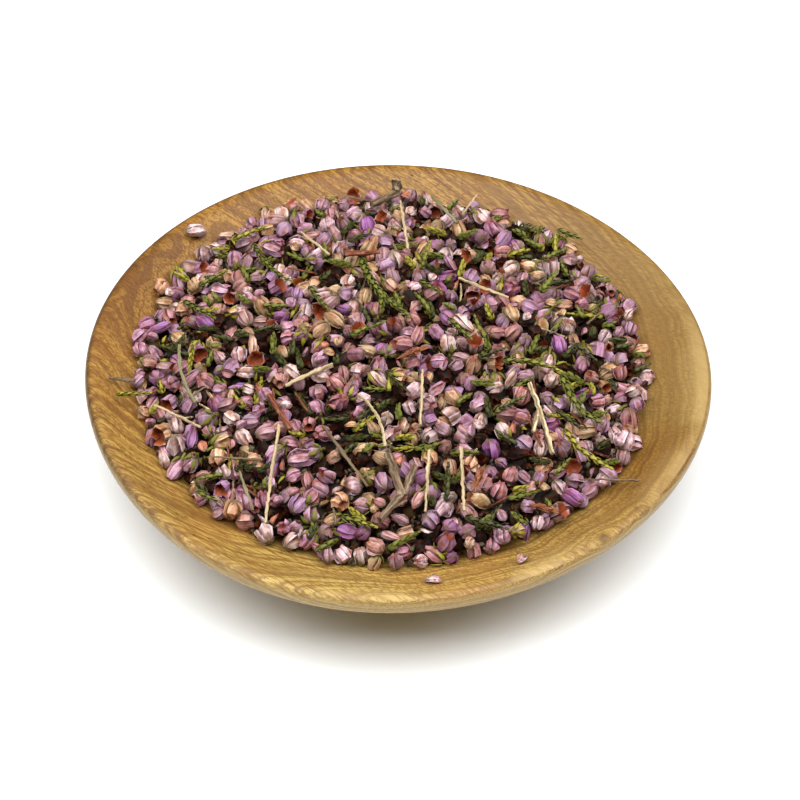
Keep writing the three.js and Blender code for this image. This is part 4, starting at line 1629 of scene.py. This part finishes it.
# Point that the camera looks at, and the table's side in metres
TARGET_MM = (0.4, -11.5, 25)
FLOOR_SIDE = 6.0
SKY_COLOUR = (0.86, 0.94, 1.0, 1.0)
LAMP_COLOUR = (1.0, 0.99, 0.975)
# Distances in metres between which the table comes to glow, so that it stays pale far away
GLOW_FROM_TO = (0.35, 1.1)


class HEATHER_OT_set_stage(bpy.types.Operator):
    """Set the table, the soft light and the camera"""

    bl_idname = "heather.set_stage"
    bl_label = "Set stage"

    def execute(self, context):
        stage = context.scene.heather_stage
        deselect_all()
        bpy.ops.mesh.primitive_plane_add(size=FLOOR_SIDE)
        table = context.object
        table.name = table.data.name = "table"
        finish = Finish("white_table", Roughness=0.9, Specular_IOR_Level=0.1)
        finish.shade("Base Color", (*stage.floor, 1.0))
        place = finish.node("ShaderNodeTexCoord").outputs["Object"]
        away = finish.node("ShaderNodeVectorMath", {0: place}, operation="LENGTH").outputs["Value"]
        finish.shade("Emission Color", (*stage.floor, 1.0))
        finish.shade("Emission Strength", finish.remap(away, *GLOW_FROM_TO, 0.0, 0.9))
        table.data.materials.append(finish.material)

        world = bpy.data.worlds.new("soft_sky")
        context.scene.world = world
        world.use_nodes = True
        sky = world.node_tree.nodes["Background"]
        sky.inputs["Color"].default_value = SKY_COLOUR
        sky.inputs["Strength"].default_value = stage.sky_strength

        over = Vector((0, -math.sin(stage.lamp_tilt), math.cos(stage.lamp_tilt)))
        bpy.ops.object.light_add(
            type="AREA", location=over * stage.lamp_distance, rotation=(stage.lamp_tilt, 0, 0))
        lamp = context.object
        lamp.data.shape = "RECTANGLE"
        lamp.data.size = stage.lamp_width
        lamp.data.size_y = stage.lamp_depth
        lamp.data.energy = stage.lamp_power
        lamp.data.color = LAMP_COLOUR

        tilt = math.pi / 2 - stage.camera_elevation
        back = Vector((0, -math.cos(stage.camera_elevation), math.sin(stage.camera_elevation)))
        target = Vector(TARGET_MM) * MM
        bpy.ops.object.camera_add(location=target + back * stage.camera_distance, rotation=(tilt, 0, 0))
        camera = context.object
        camera.data.lens = stage.lens
        camera.data.clip_start = 0.01
        context.scene.camera = camera
        context.scene.view_settings.view_transform = "Standard"
        return {"FINISHED"}


class HEATHER_PT_panel(bpy.types.Panel):
    """Sizes, colours and steps of the bowl of heather"""

    bl_label = "Bowl of Dried Heather"
    bl_idname = "HEATHER_PT_panel"
    bl_space_type = "VIEW_3D"
    bl_region_type = "UI"
    bl_category = "Heather"

    def draw(self, context):
        for heading, holder, operators in SECTIONS:
            box = self.layout.box()
            box.label(text=heading)
            settings = getattr(context.scene, holder)
            for name in type(settings).__annotations__:
                box.prop(settings, name)
            for operator in operators:
                box.operator(operator.bl_idname)


SECTIONS = (
    ("Stage", "heather_stage", (HEATHER_OT_set_stage,)),
    ("Bowl", "heather_bowl", (HEATHER_OT_add_bowl,)),
    ("Heap", "heather_heap", (HEATHER_OT_add_core, HEATHER_OT_add_flowers, HEATHER_OT_add_lone_flower)),
    ("Greens", "heather_greens", (HEATHER_OT_add_shoots,)),
    ("Dry stalks", "heather_stalks", (HEATHER_OT_add_straws, HEATHER_OT_add_twigs, HEATHER_OT_add_chips)),
)
HOLDERS = {
    "heather_bowl": BowlSettings,
    "heather_heap": HeapSettings,
    "heather_greens": GreenSettings,
    "heather_stalks": DryStalkSettings,
    "heather_stage": StageSettings,
}
OPERATORS = [operator for section in SECTIONS for operator in section[2]]


def register():
    for settings in HOLDERS.values():
        bpy.utils.register_class(settings)
    for operator in OPERATORS:
        bpy.utils.register_class(operator)
    bpy.utils.register_class(HEATHER_PT_panel)
    for holder, settings in HOLDERS.items():
        setattr(bpy.types.Scene, holder, PointerProperty(type=settings))


def unregister():
    for holder in HOLDERS:
        delattr(bpy.types.Scene, holder)
    bpy.utils.unregister_class(HEATHER_PT_panel)
    for operator in reversed(OPERATORS):
        bpy.utils.unregister_class(operator)
    for settings in reversed(HOLDERS.values()):
        bpy.utils.unregister_class(settings)


def main():
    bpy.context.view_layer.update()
    register()
    bpy.ops.heather.set_stage()
    bpy.ops.heather.add_bowl()
    bpy.ops.heather.add_core()
    bpy.ops.heather.add_flowers()
    bpy.ops.heather.add_lone_flower()
    bpy.ops.heather.add_shoots()
    bpy.ops.heather.add_straws()
    bpy.ops.heather.add_twigs()
    bpy.ops.heather.add_chips()
    deselect_all()


if __name__ == "__main__":
    main()
